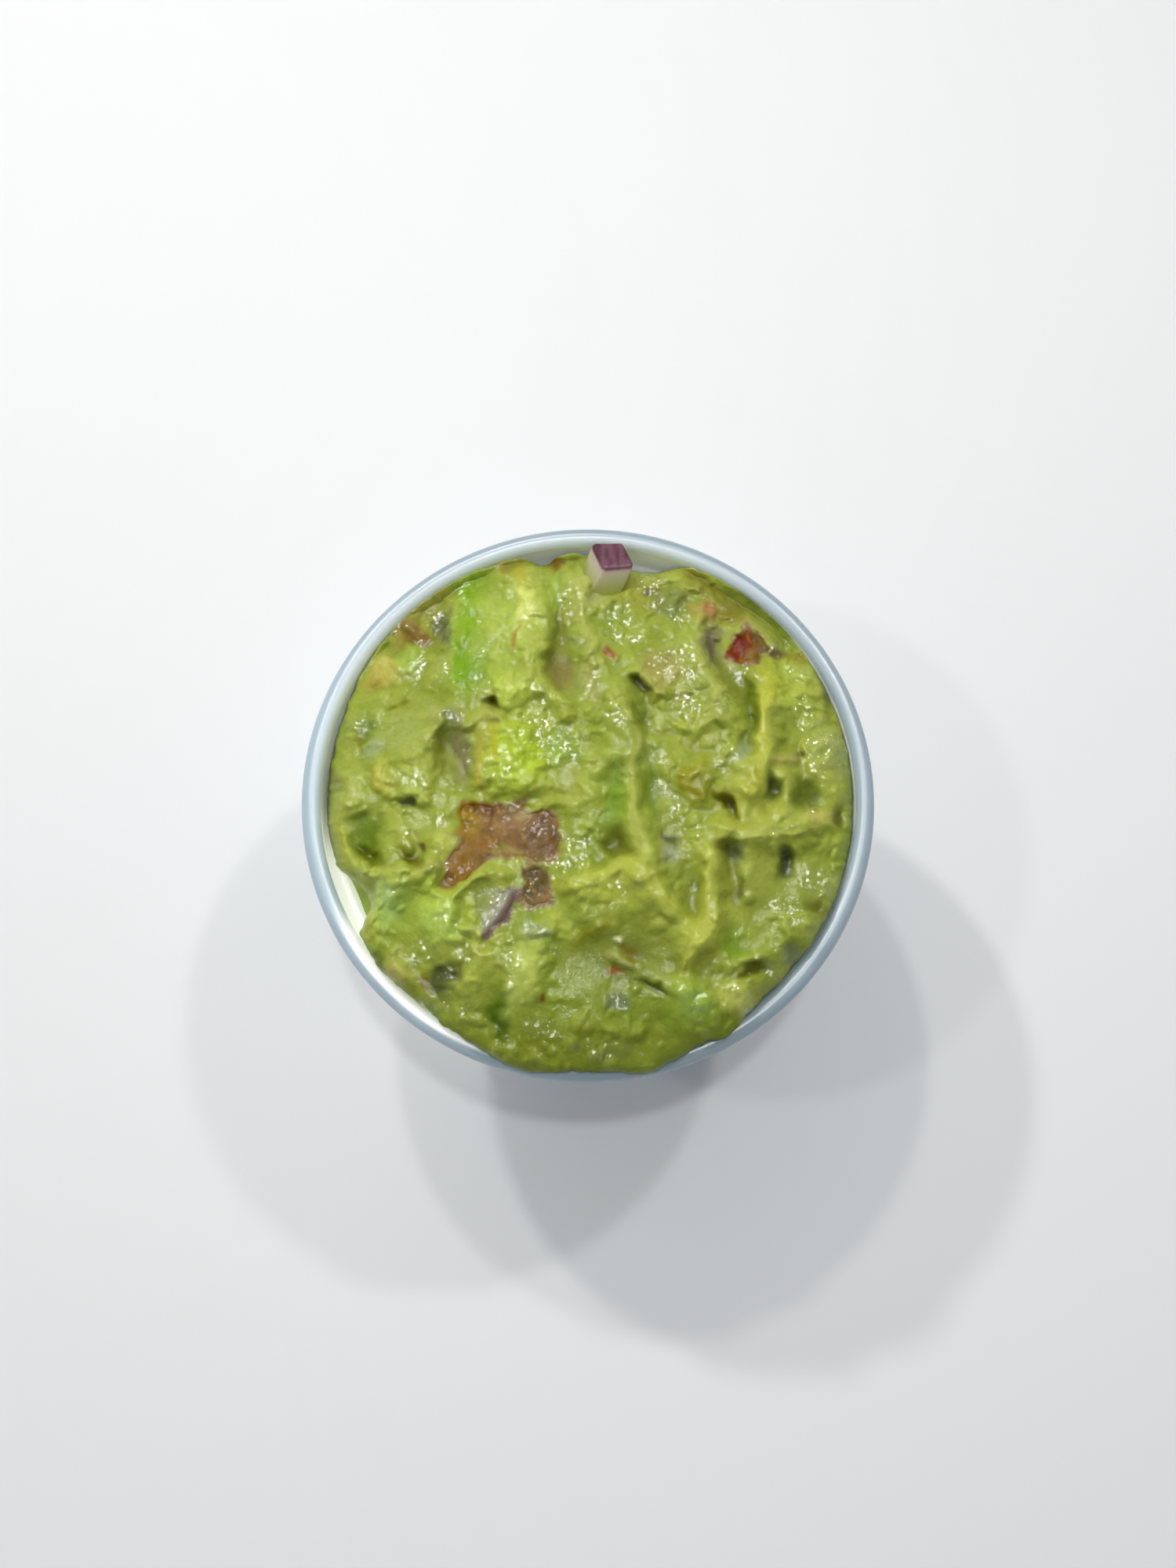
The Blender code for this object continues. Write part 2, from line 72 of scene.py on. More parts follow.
# Soft noises over the drawing: how strong, how far apart the bumps are, seed
noises = {
    "driftU": (1.0, 2.6, 11),
    "driftFineU": (0.4, 1.1, 12),
    "driftV": (1.0, 2.6, 13),
    "driftFineV": (0.4, 1.1, 14),
    "swell": (0.35, 3.4, 21),
    "swellFine": (0.14, 1.5, 22),
    "edge": (0.18, 1.0, 31),
    "edgeFine": (0.1, 1.0, 32),
    "ripeness": (0.5, 7.0, 41),
    "patches": (0.9, 2.2, 42),
    "dicedOutline": (1.0, 1.1, 51),
    "lap": (0.16, 1.1, 55),
    "stain": (0.45, 1.2, 57),
    "wetness": (1.3, 1.3, 59),
    "stainFine": (0.25, 0.5, 60),
    "fibres": (1.5, 1.6, 61),
    "tomatoFace": (0.2, 2.2, 62),
    "tomatoFaceFine": (0.09, 0.9, 63),
    "tomatoStreaks": (1.6, 0.6, 64),
    "tomatoDark": (1.5, 1.1, 65),
    "onionFace": (0.12, 1.5, 66),
    "onionLayers": (0.9, 0.35, 67),
    "skinStreaks": (1.0, 0.5, 71),
    "clungMash": (0.3, 1.2, 72),
    "looseness": (0.9, 5.0, 92),
}


def noise(u, v, name, cells=256):
    strength, spacing, seed = noises[name]
    table = np.random.default_rng(seed).uniform(-1, 1, (cells, cells))
    a, b = u / spacing + cells // 2, v / spacing + cells // 2
    i, j = np.floor(a).astype(int) % (cells - 1), np.floor(b).astype(int) % (cells - 1)
    s, t = smoothStep(a - np.floor(a)), smoothStep(b - np.floor(b))
    low = table[i, j] * (1 - s) + table[i + 1, j] * s
    high = table[i, j + 1] * (1 - s) + table[i + 1, j + 1] * s
    return strength * (low * (1 - t) + high * t)


# Objects and meshes


def newObject(name, data):
    made = bpy.data.objects.new(name, data)
    bpy.context.scene.collection.objects.link(made)
    return made


def claim(piece, node):
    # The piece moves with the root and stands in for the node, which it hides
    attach(piece, "root")
    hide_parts(node)


def addPiece(name, mesh, node, material):
    piece = newObject(name, mesh)
    claim(piece, node)
    mesh.materials.append(material)
    return piece


def paint(mesh, colours, values):
    # Gives each point its colour and other values, which the materials read by name
    layer = mesh.attributes.new("tint", "FLOAT_COLOR", "POINT")
    colours = np.column_stack([np.clip(colours, 0, 1), np.ones(len(colours))])
    layer.data.foreach_set("color", colours.astype(np.float32).ravel())
    for key, column in values.items():
        layer = mesh.attributes.new(key, "FLOAT", "POINT")
        layer.data.foreach_set("value", np.asarray(column, np.float32).ravel())


def meshOf(name, points, faces, colours, values):
    mesh = bpy.data.meshes.new(name)
    mesh.from_pydata(toMetres(points).tolist(), [], faces)
    mesh.shade_smooth()
    paint(mesh, colours, values)
    return mesh


def shellFaces(rows, segments):
    # Faces of a closed shell: its first point, rows of points from there, and its last point
    faces = []
    last = 1 + (rows - 1) * segments
    for k in range(segments):
        after = (k + 1) % segments
        faces.append((0, 1 + k, 1 + after))
        for low in range(1, last, segments):
            high = low + segments
            faces.append((low + k, high + k, high + after, low + after))
        faces.append((last + k, last + segments, last + after))
    return faces


# Node trees


def feed(tree, node, inputs):
    # Links the inputs that are sockets and sets the others
    for key, value in inputs.items():
        if isinstance(value, bpy.types.NodeSocket):
            tree.links.new(value, node.inputs[key])
        else:
            node.inputs[key].default_value = value


def addNode(tree, kind, inputs=None, **settings):
    node = tree.nodes.new(kind)
    for key, value in settings.items():
        setattr(node, key, value)
    feed(tree, node, inputs or {})
    return node


def useGroup(tree, group, inputs):
    return addNode(tree, "ShaderNodeGroup", inputs, node_tree=group).outputs


def floats(*labels):
    return {label: "Float" for label in labels}


def newTree(name, kind, inputs, outputs):
    tree = bpy.data.node_groups.new(name, kind)
    for direction, sockets in (("INPUT", inputs), ("OUTPUT", outputs)):
        for label, socketType in sockets.items():
            tree.interface.new_socket(label, in_out=direction, socket_type="NodeSocket" + socketType)
    return tree, tree.nodes.new("NodeGroupInput").outputs, tree.nodes.new("NodeGroupOutput")


def newMaterial(name):
    made = bpy.data.materials.new(name)
    made.use_nodes = True
    return made, made.node_tree, made.node_tree.nodes["Principled BSDF"]


def maths(tree, operation, *values):
    return addNode(tree, "ShaderNodeMath", dict(enumerate(values)), operation=operation).outputs[0]


def vectors(tree, operation, inputs):
    return addNode(tree, "ShaderNodeVectorMath", inputs, operation=operation).outputs[0]


def mapRange(tree, value, start, end, **settings):
    inputs = {"Value": value, "From Min": start[0], "From Max": start[1], "To Min": end[0], "To Max": end[1]}
    return addNode(tree, "ShaderNodeMapRange", inputs, **settings).outputs["Result"]


def noiseTexture(tree, place, scale, detail, roughness=0.5, output="Fac"):
    inputs = {"Vector": place, "Scale": scale, "Detail": detail, "Roughness": roughness}
    return addNode(tree, "ShaderNodeTexNoise", inputs).outputs[output]


def bumped(tree, distance, height, normal=None):
    inputs = {"Distance": distance, "Height": height}
    if normal:
        inputs["Normal"] = normal
    return addNode(tree, "ShaderNodeBump", inputs).outputs["Normal"]


def objectPlace(tree):
    return addNode(tree, "ShaderNodeTexCoord").outputs["Object"]


def attribute(tree, name, output="Fac"):
    return addNode(tree, "ShaderNodeAttribute", attribute_name=name).outputs[output]


def bake(piece, tree, values):
    # Runs a Geometry Nodes tree on a piece and keeps the result as its plain mesh
    modifier = piece.modifiers.new(tree.name, "NODES")
    modifier.node_group = tree
    for item in tree.interface.items_tree:
        if item.item_type == "SOCKET" and item.in_out == "INPUT" and item.name in values:
            modifier[item.identifier] = values[item.name]
    bpy.context.view_layer.update()
    graph = bpy.context.evaluated_depsgraph_get()
    ready = piece.evaluated_get(graph)
    mesh = bpy.data.meshes.new_from_object(ready, preserve_all_data_layers=True, depsgraph=graph)
    piece.modifiers.clear()
    piece.data = mesh


# Shared looks

wetFilm = {
    "patches": (0.36, 0.56),  # noise from where it is dry to where it is wet
    "patchFilm": 0.2,  # film on a wet patch away from the glints
    "ripples": (0.6, 1.0),  # height away from the glints and among them
}

flecks = {
    "contrast": 2.4,
    "finer": 2.6,  # how much finer the small flecks are
    "fineLevel": 0.45,
    "fineShare": 0.5,
    # Painted shade: what is left of the colour at the bottom of a hollow
    "hollowShade": 0.8,  # what is left of the colour at the bottom of a hollow
}


def grainNoise(tree, size):
    scale = maths(tree, "DIVIDE", 1.0, size)
    return noiseTexture(tree, objectPlace(tree), scale, detail=3.0, roughness=0.6)


def rippleNoise(tree, size, shine):
    ripple = noiseTexture(tree, objectPlace(tree), maths(tree, "DIVIDE", 1.0, size), detail=0.4)
    return maths(tree, "MULTIPLY", ripple, mapRange(tree, shine, (0.0, 1.0), wetFilm["ripples"]))


def facetNormal(tree, normal, size, lean, shine):
    # Small facets of the wet film, each leaning its own way, so that some of them catch a lamp
    scale = maths(tree, "DIVIDE", 1.0, size)
    facets = addNode(tree, "ShaderNodeTexVoronoi", {"Vector": objectPlace(tree), "Scale": scale})
    ways = vectors(tree, "SUBTRACT", {0: facets.outputs["Color"], 1: (0.5, 0.5, 0.5)})
    lean = vectors(tree, "SCALE", {0: ways, "Scale": maths(tree, "MULTIPLY", lean, shine)})
    return vectors(tree, "NORMALIZE", {0: vectors(tree, "ADD", {0: normal, 1: lean})})


def wetSkinGroup():
    # Juice in patches over a soft grain: roughness, strength of the film and height of the grain
    given = floats("Patch Size", "Grain Size", "Dry", "Wet", "Shine")
    tree, given, out = newTree("wetSkin", "ShaderNodeTree", given, floats("Roughness", "Film", "Grain"))
    wet = noiseTexture(tree, objectPlace(tree), maths(tree, "DIVIDE", 1.0, given["Patch Size"]), detail=2.0)
    wet = mapRange(tree, wet, wetFilm["patches"], (0.0, 1.0), interpolation_type="SMOOTHSTEP")
    film = maths(tree, "MULTIPLY", wet, wetFilm["patchFilm"])
    made = {
        "Roughness": mapRange(tree, wet, (0.0, 1.0), (given["Dry"], given["Wet"])),
        "Film": maths(tree, "MAXIMUM", film, given["Shine"]),
        "Grain": grainNoise(tree, given["Grain Size"]),
    }
    feed(tree, out, made)
    return tree


def glintGroup():
    # The facets as the food under the film takes them
    given = {"Normal": "Vector"} | floats("Facet Size", "Lean", "Shine")
    tree, given, out = newTree("glintFacets", "ShaderNodeTree", given, {"Normal": "Vector"})
    normal = facetNormal(tree, given["Normal"], given["Facet Size"], given["Lean"], given["Shine"])
    feed(tree, out, {"Normal": normal})
    return tree


def mottleGroup():
    # Breaks a colour up into lighter and darker flecks, and darkens it in hollows as painted shade
    given = {"Color": "Color"} | floats("Fleck Size", "Strength", "Hollow Shade")
    tree, given, out = newTree("mottle", "ShaderNodeTree", given, {"Color": "Color"})
    place = objectPlace(tree)
    scale = maths(tree, "DIVIDE", 1.0, given["Fleck Size"])
    broad = noiseTexture(tree, place, scale, detail=5.0, roughness=0.65)
    fine = {"Vector": place, "Scale": maths(tree, "MULTIPLY", scale, flecks["finer"])}
    fine = addNode(tree, "ShaderNodeTexVoronoi", fine).outputs["Distance"]
    broad = maths(tree, "MULTIPLY", maths(tree, "SUBTRACT", broad, 0.5), flecks["contrast"])
    fine = maths(tree, "MULTIPLY", maths(tree, "SUBTRACT", flecks["fineLevel"], fine), flecks["fineShare"])
    value = maths(tree, "MULTIPLY_ADD", maths(tree, "ADD", broad, fine), given["Strength"], 1.0)
    sunk = mapRange(tree, given["Hollow Shade"], (0.0, 1.0), (1.0, flecks["hollowShade"]))
    value = maths(tree, "MULTIPLY", value, sunk)
    feed(tree, out, {"Color": vectors(tree, "SCALE", {0: given["Color"], "Scale": value})})
    return tree


wetSkin = wetSkinGroup()
glintFacets = glintGroup()
mottle = mottleGroup()

# A look has the inputs of the groups that it uses, then its heights in metres and its depths of light
wetLook = {"coatRoughness": 0.09, "rippleSize": 0.0006, "facetSize": 0.00046}
tomatoLook = wetLook | {
    "mottle": {"Fleck Size": 0.0009, "Strength": 0.3},
    "skin": {"Patch Size": 0.003, "Grain Size": 0.0005, "Dry": 0.5, "Wet": 0.4},
    "lean": 0.8,
    "grainHeight": 0.00006,
    "rippleHeight": 0.00005,
    "glow": 0.2,
    "glowRadius": (0.0006, 0.0003, 0.0002),
    "coat": (0.0, 0.28),
    "specular": 0.04,
}
onionLook = wetLook | {
    "mottle": {"Fleck Size": 0.002, "Strength": 0.1},
    "skin": {"Patch Size": 0.004, "Grain Size": 0.0008, "Dry": 0.4, "Wet": 0.25},
    "lean": 0.4,
    "grainHeight": 0.00003,
    "rippleHeight": 0.00006,
    "glow": 0.4,
    "glowRadius": (0.001, 0.001, 0.0008),
    "coat": (0.05, 0.5),
    "specular": 0.12,
}
guacamoleLook = wetLook | {
    "mottle": {"Fleck Size": 0.0012, "Strength": 0.2},
    "skin": {"Patch Size": 0.0046, "Grain Size": 0.0006, "Dry": 0.55, "Wet": 0.4},
    "lean": 0.85,
    "grainHeight": 0.00011,
    "rippleHeight": 0.00005,
    "glow": 0.25,
    "glowRadius": (0.0005, 0.0006, 0.0002),
    "coat": (0.0, 1.0),
    "specular": 0.12,
}
bodyLean = 0.3  # share of the facets' lean that the food under the film takes


def foodMaterial(name, look):
    # Wet, slightly translucent food, coloured by the mesh's tint
    made, tree, shader = newMaterial(name)
    shine = attribute(tree, "shine")
    skin = useGroup(tree, wetSkin, look["skin"] | {"Shine": shine})
    tint = {"Color": attribute(tree, "tint", "Color"), "Hollow Shade": attribute(tree, "hollowShade")}
    grain = bumped(tree, look["grainHeight"], skin["Grain"])
    lean = bodyLean * look["lean"]
    facets = {"Normal": grain, "Facet Size": look["facetSize"], "Lean": lean, "Shine": shine}
    # The film's normal is made of the material's own nodes, because no group may feed it
    film = bumped(tree, look["grainHeight"], grainNoise(tree, look["skin"]["Grain Size"]))
    film = bumped(tree, look["rippleHeight"], rippleNoise(tree, look["rippleSize"], shine), film)
    inputs = {
        "Base Color": useGroup(tree, mottle, look["mottle"] | tint)["Color"],
        "Roughness": skin["Roughness"],
        "IOR": 1.38,
        "Specular IOR Level": look["specular"],
        "Normal": useGroup(tree, glintFacets, facets)["Normal"],
        "Subsurface Weight": look["glow"],
        "Subsurface Radius": look["glowRadius"],
        "Subsurface Scale": 1.0,
        "Coat Weight": mapRange(tree, skin["Film"], (0.0, 1.0), look["coat"]),
        "Coat Roughness": look["coatRoughness"],
        "Coat IOR": 1.6,
        "Coat Normal": facetNormal(tree, film, look["facetSize"], look["lean"], shine),
    }
    feed(tree, shader, inputs)
    return made


# Cup

cup = {
    "rimRadius": 37.0,
    "beadRadius": 1.3,
    "wall": 0.6,
    "creaseDepth": 2.2,
    "bandDepth": 4.6,
    "ledgeDepth": 5.0,
    "creaseRadius": 34.35,
    "bandRadius": 33.9,
    "ledgeRadius": 33.1,
    "floorRadius": 27.0,
    "floorHeight": 1.6,
    "corner": 2.2,
    "footRadius": 25.6,
    "footFlat": 0.4,
    "recessRadius": 22.5,
    "recessHeight": 0.9,
    "recessMiddle": 3.0,
    "easedInside": 0.35,
    "easedOutside": 0.3,
    "segments": 256,
}
cupFloor = cup["floorHeight"] - cupHeight

cupLook = {
    "rim": (186, 205, 216),
    # Painted light on the bead's inner slope round the back
    "rimSlopeLight": (236, 246, 252),
    # Painted highlight on the bead at the front left
    "rimLit": (252, 253, 253),
    # The plastic's milky white, made brighter on the inner wall as painted light
    "inside": (246, 248, 248),
    "insideFrom": -0.8,
    # Middle in degrees, degrees over which it fades, and how many times those it reaches
    "slopeArc": (115, 60, 1.6),
    "litArc": (229, 18, 1.5),
    "wallArc": (208, 18, 1.5),
    # Radius where it ends, and over what length
    "slopeEdge": (35.6, 0.5),
    "litEdge": (36.1, 0.4),
    "slopeShare": 0.9,
    # Emission strengths: painted glow on the lit arc and on the inner wall, though neither is a lamp
    "rimGlow": 0.25,
    "wallGlow": 0.45,
    # Degrees round the rim, and what is left there of its colour as painted shade
    "shade": [
        (0, 0.76), (45, 0.68), (90, 0.66), (135, 0.76), (165, 0.93),
        (235, 0.95), (270, 0.74), (300, 0.7), (330, 0.76), (360, 0.76),
    ],
    "shadeEnd": (-4, 20),  # height where the shade begins to lift, and over what length
}


def arc(centre, radius, start, end, count):
    angles = np.radians(np.linspace(start, end, count + 1))
    return [(centre[0] + radius * math.cos(a), centre[1] + radius * math.sin(a)) for a in angles]


def eased(points, reach, steps=4):
    # The path with each corner rounded over a short reach
    p = [np.array(q, float) for q in points]
    path = [p[0]]
    for a, b, c in zip(p, p[1:], p[2:]):
        before, after = a - b, c - b
        cut = [min(reach, 0.4 * np.linalg.norm(d)) / np.linalg.norm(d) for d in (before, after)]
        start, end = b + before * cut[0], b + after * cut[1]
        for t in np.linspace(0, 1, steps + 1):
            path.append((1 - t) ** 2 * start + 2 * t * (1 - t) * b + t**2 * end)
    return path + [p[-1]]


def cupProfile():
    # Radius and height over the rim, from the axis inside, over the bead, to the axis below
    c = cup
    base = -cupHeight
    inside = [(0.0, cupFloor)]
    inside += arc((c["floorRadius"] - c["corner"], cupFloor + c["corner"]), c["corner"], -90, -10, 8)
    inside += eased(
        [
            (c["floorRadius"], cupFloor + c["corner"]),
            (c["ledgeRadius"], -c["ledgeDepth"]),
            (c["bandRadius"], -c["bandDepth"]),
            (c["creaseRadius"], -c["creaseDepth"]),
        ],
        c["easedInside"],
    )
    bead = arc((c["rimRadius"] - c["beadRadius"], -c["beadRadius"]), c["beadRadius"], 180, -70, 28)
    outside = eased(
        [
            bead[-1],
            (c["creaseRadius"] + c["wall"], -c["creaseDepth"] - c["wall"] / 2),
            (c["bandRadius"] + c["wall"], -c["ledgeDepth"]),
            (c["ledgeRadius"] + c["wall"], -c["ledgeDepth"] - c["wall"]),
            (c["footRadius"] + c["corner"], base + c["corner"]),
        ],
        c["easedOutside"],
    )[1:]
    foot = arc((c["footRadius"], base + c["corner"]), c["corner"], -10, -90, 8)
    foot += eased(
        [
            (c["footRadius"] - c["footFlat"], base),
            (c["recessRadius"] + c["recessHeight"], base),
            (c["recessRadius"], base + c["recessHeight"]),
            (c["recessMiddle"], base + c["recessHeight"]),
        ],
        c["easedOutside"],
    )
    return inside + bead + outside + foot + [(0.0, base + c["recessHeight"])]


def lathe(profile, segments):
    # Points and faces of a closed turned body whose profile starts and ends on the axis
    angles = np.arange(segments) * math.tau / segments
    ring = np.column_stack([np.cos(angles), np.sin(angles)])
    points = [(0.0, 0.0, profile[0][1])]
    for radius, height in profile[1:-1]:
        points += [(radius * x, radius * y, height) for x, y in ring]
    points.append((0.0, 0.0, profile[-1][1]))
    return np.array(points), shellFaces(len(profile) - 2, segments)


def wallRadius(height):
    # Radius of the cup's inner wall
    c = cup
    heights = [cupFloor + c["corner"], -c["ledgeDepth"], -c["bandDepth"], -c["creaseDepth"]]
    radii = [c["floorRadius"], c["ledgeRadius"], c["bandRadius"], c["creaseRadius"]]
    return np.interp(height, heights, radii)


def alongArc(turn, middle, fade, reach):
    return smoothStep(reach - np.abs(turn - middle) / fade)


def within(away, edge, fade):
    return smoothStep((edge - away) / fade)


def cupColours(places):
    # Tint of the plastic with its painted shade and painted light, and how strongly it glows as painted
    # light
    x, y, height = places.T
    away, turn = np.hypot(x, y), np.degrees(np.arctan2(y, x)) % 360
    low, high = cupFloor - 0.2, cupLook["insideFrom"]
    inside = (away < wallRadius(height) + cup["wall"] / 2) & (height < high) & (height > low)
    # Near-white arc on the bead at the front left: painted highlight
    lit = within(away, *cupLook["litEdge"]) * alongArc(turn, *cupLook["litArc"])
    # The bead's inner slope made paler round the back: painted light
    slope = within(away, *cupLook["slopeEdge"]) * alongArc(turn, *cupLook["slopeArc"])
    # Painted shade round the rim, which lifts lower down the cup
    shade = np.interp(turn, *zip(*cupLook["shade"]))
    shade = shade + (1 - shade) * within(height, *cupLook["shadeEnd"])
    tint = blend(srgb(*cupLook["rim"]) * shade[:, None], cupLook["rimLit"], lit)
    tint = blend(tint, cupLook["rimSlopeLight"], cupLook["slopeShare"] * slope)
    # Inner wall near white: the plastic's milky colour, brightened as painted light
    tint = np.where(inside[:, None], srgb(*cupLook["inside"]), tint)
    # Painted glow on the inner wall at the front left, standing in for light through the plastic
    wall = inside * alongArc(turn, *cupLook["wallArc"]) * cupLook["wallGlow"]
    return tint, np.maximum(wall, cupLook["rimGlow"] * lit)


def cupMaterial():
    # Milky plastic with fine scuffs and a soft sheen
    made, tree, shader = newMaterial("milkyPlastic")
    scuffs = noiseTexture(tree, objectPlace(tree), 900.0, detail=2.0)
    bump = addNode(tree, "ShaderNodeBump", {"Strength": 0.3, "Distance": 0.00002, "Height": scuffs})
    inputs = {
        "Base Color": attribute(tree, "tint", "Color"),
        "Roughness": mapRange(tree, scuffs, (0.35, 0.7), (0.3, 0.36)),
        "IOR": 1.49,
        "Normal": bump.outputs["Normal"],
        "Subsurface Weight": 0.4,
        "Subsurface Radius": (0.002, 0.0023, 0.0027),
        "Subsurface Scale": 1.0,
        "Coat Weight": 0.1,
        "Coat Roughness": 0.2,
        # The painted glow makes the plastic emit light, though it is no lamp
        "Emission Color": attribute(tree, "paintedGlow"),
        "Emission Strength": 1.0,
    }
    feed(tree, shader, inputs)
    return made


points, faces = lathe(cupProfile(), cup["segments"])
cupTint, paintedGlow = cupColours(points)
addPiece("cupShell", meshOf("cupShell", points, faces, cupTint, {"paintedGlow": paintedGlow}), "cup", cupMaterial())
print("cup:", len(faces), "faces")


# Heap of guacamole, drawn on the level plane drawnAt over the rim. Its forms lean towards leanPoint.

heap = {
    "cells": 290,
    "crown": (0.0, -8.0),
    "crownHeight": 5.6,
    "crownFall": 6.6,
    "crownReach": 36.0,
    "edgeRound": 1.8,
    "hollowShare": 0.72,
    "spotFall": 0.9,
    "spotEdge": 1.4,
    "tintFull": 1.25,  # how far a spot's colour is filled before it fades
    "glintFull": 1.4,
    "drawnAt": 4.0,
    "leanPoint": (0.0, -44.94, 161.94),
    "edgeEase": 2.2,  # degrees over which the edge's table is smoothed
    "edgeOut": 0.05,
    "lapFrom": 0.3,  # height of the edge from where it laps over the rim
    "offWall": -0.06,  # added to the wall's radius near the rim
    "intoWall": 0.15,  # added to it lower down
    "hollowCells": (5, 14),  # how far the surface is smoothed to find its hollows
    # How sunk a place must be for the full painted shade in its hollow
    "hollowShadeDepth": 2.0,
    "looseFrom": 1.2,  # how far in from the edge the mash is fully loose
}

crestForm = {
    "flat": 0.12,  # half the width of the top, where ribbons has no other
    "round": 0.42,
    "spread": 0.35,  # added to each reach
    "fall": 1.15,
    "kneeCut": 0.25,
    "end": 3.6,  # in reaches, where it has run out
    "endFade": 1.2,
    "sideBlend": 0.45,
    "tipShare": 0.22,  # of the path, over which it runs out at each tip
    "tipHeight": 0.3,
    "tipReach": 0.35,
}

heapColours = {
    "olive": (146, 164, 66),
    "yellow": (168, 176, 78),
    "patch": (186, 196, 98),
    # Painted shade towards the front of the heap
    "front": (120, 136, 50),
    # Painted light on the crests
    "top": (196, 202, 108),
    "side": (150, 168, 74),
    "patchShare": 0.3,
    "frontShare": 0.65,
    "frontFrom": 18,
    "frontFade": 16,
    "crestLightShare": 0.25,
    # How strong the painted shade in the hollows is
    "shade": 0.3,
    "sheen": (0.018, 0.018, 0.021),  # what the wet film's sheen adds
}

# The heap's edge: degrees round the cup, radius and height over the rim
heapEdge = [
    (0, 34.3, -1.5), (20, 34.3, -1.3), (45, 34.3, -0.6), (60, 34.2, -0.4), (67, 33.9, -0.6),
    (74, 33.2, -4.6), (84, 33.2, -4.8), (90, 33.4, -2.4), (93, 33.5, -1.0), (97, 33.5, -1.2),
    (99.5, 33.2, -3.8), (101.5, 33.2, -4.6), (104, 33.0, 0.3), (115, 33.8, 0.0), (130, 34.1, -0.5),
    (150, 34.0, -0.8), (160, 33.9, -2.2), (180, 33.8, -2.5), (196, 33.7, -2.8), (203, 31.3, -4.2),
    (209, 31.5, -3.2), (213, 34.2, 0.35), (222, 34.6, 0.45), (235, 34.6, 0.7), (244, 35.0, 1.2),
    (252, 35.9, 1.0), (258, 36.7, 0.8), (266, 35.8, 1.2), (274, 35.7, 1.2), (282, 36.6, 0.8),
    (289, 35.8, 1.0), (294, 35.0, 1.0), (299, 36.1, 1.0), (305, 34.4, 0.8), (311, 34.2, -0.2),
    (325, 34.3, -0.8), (343, 34.3, -1.2),
]

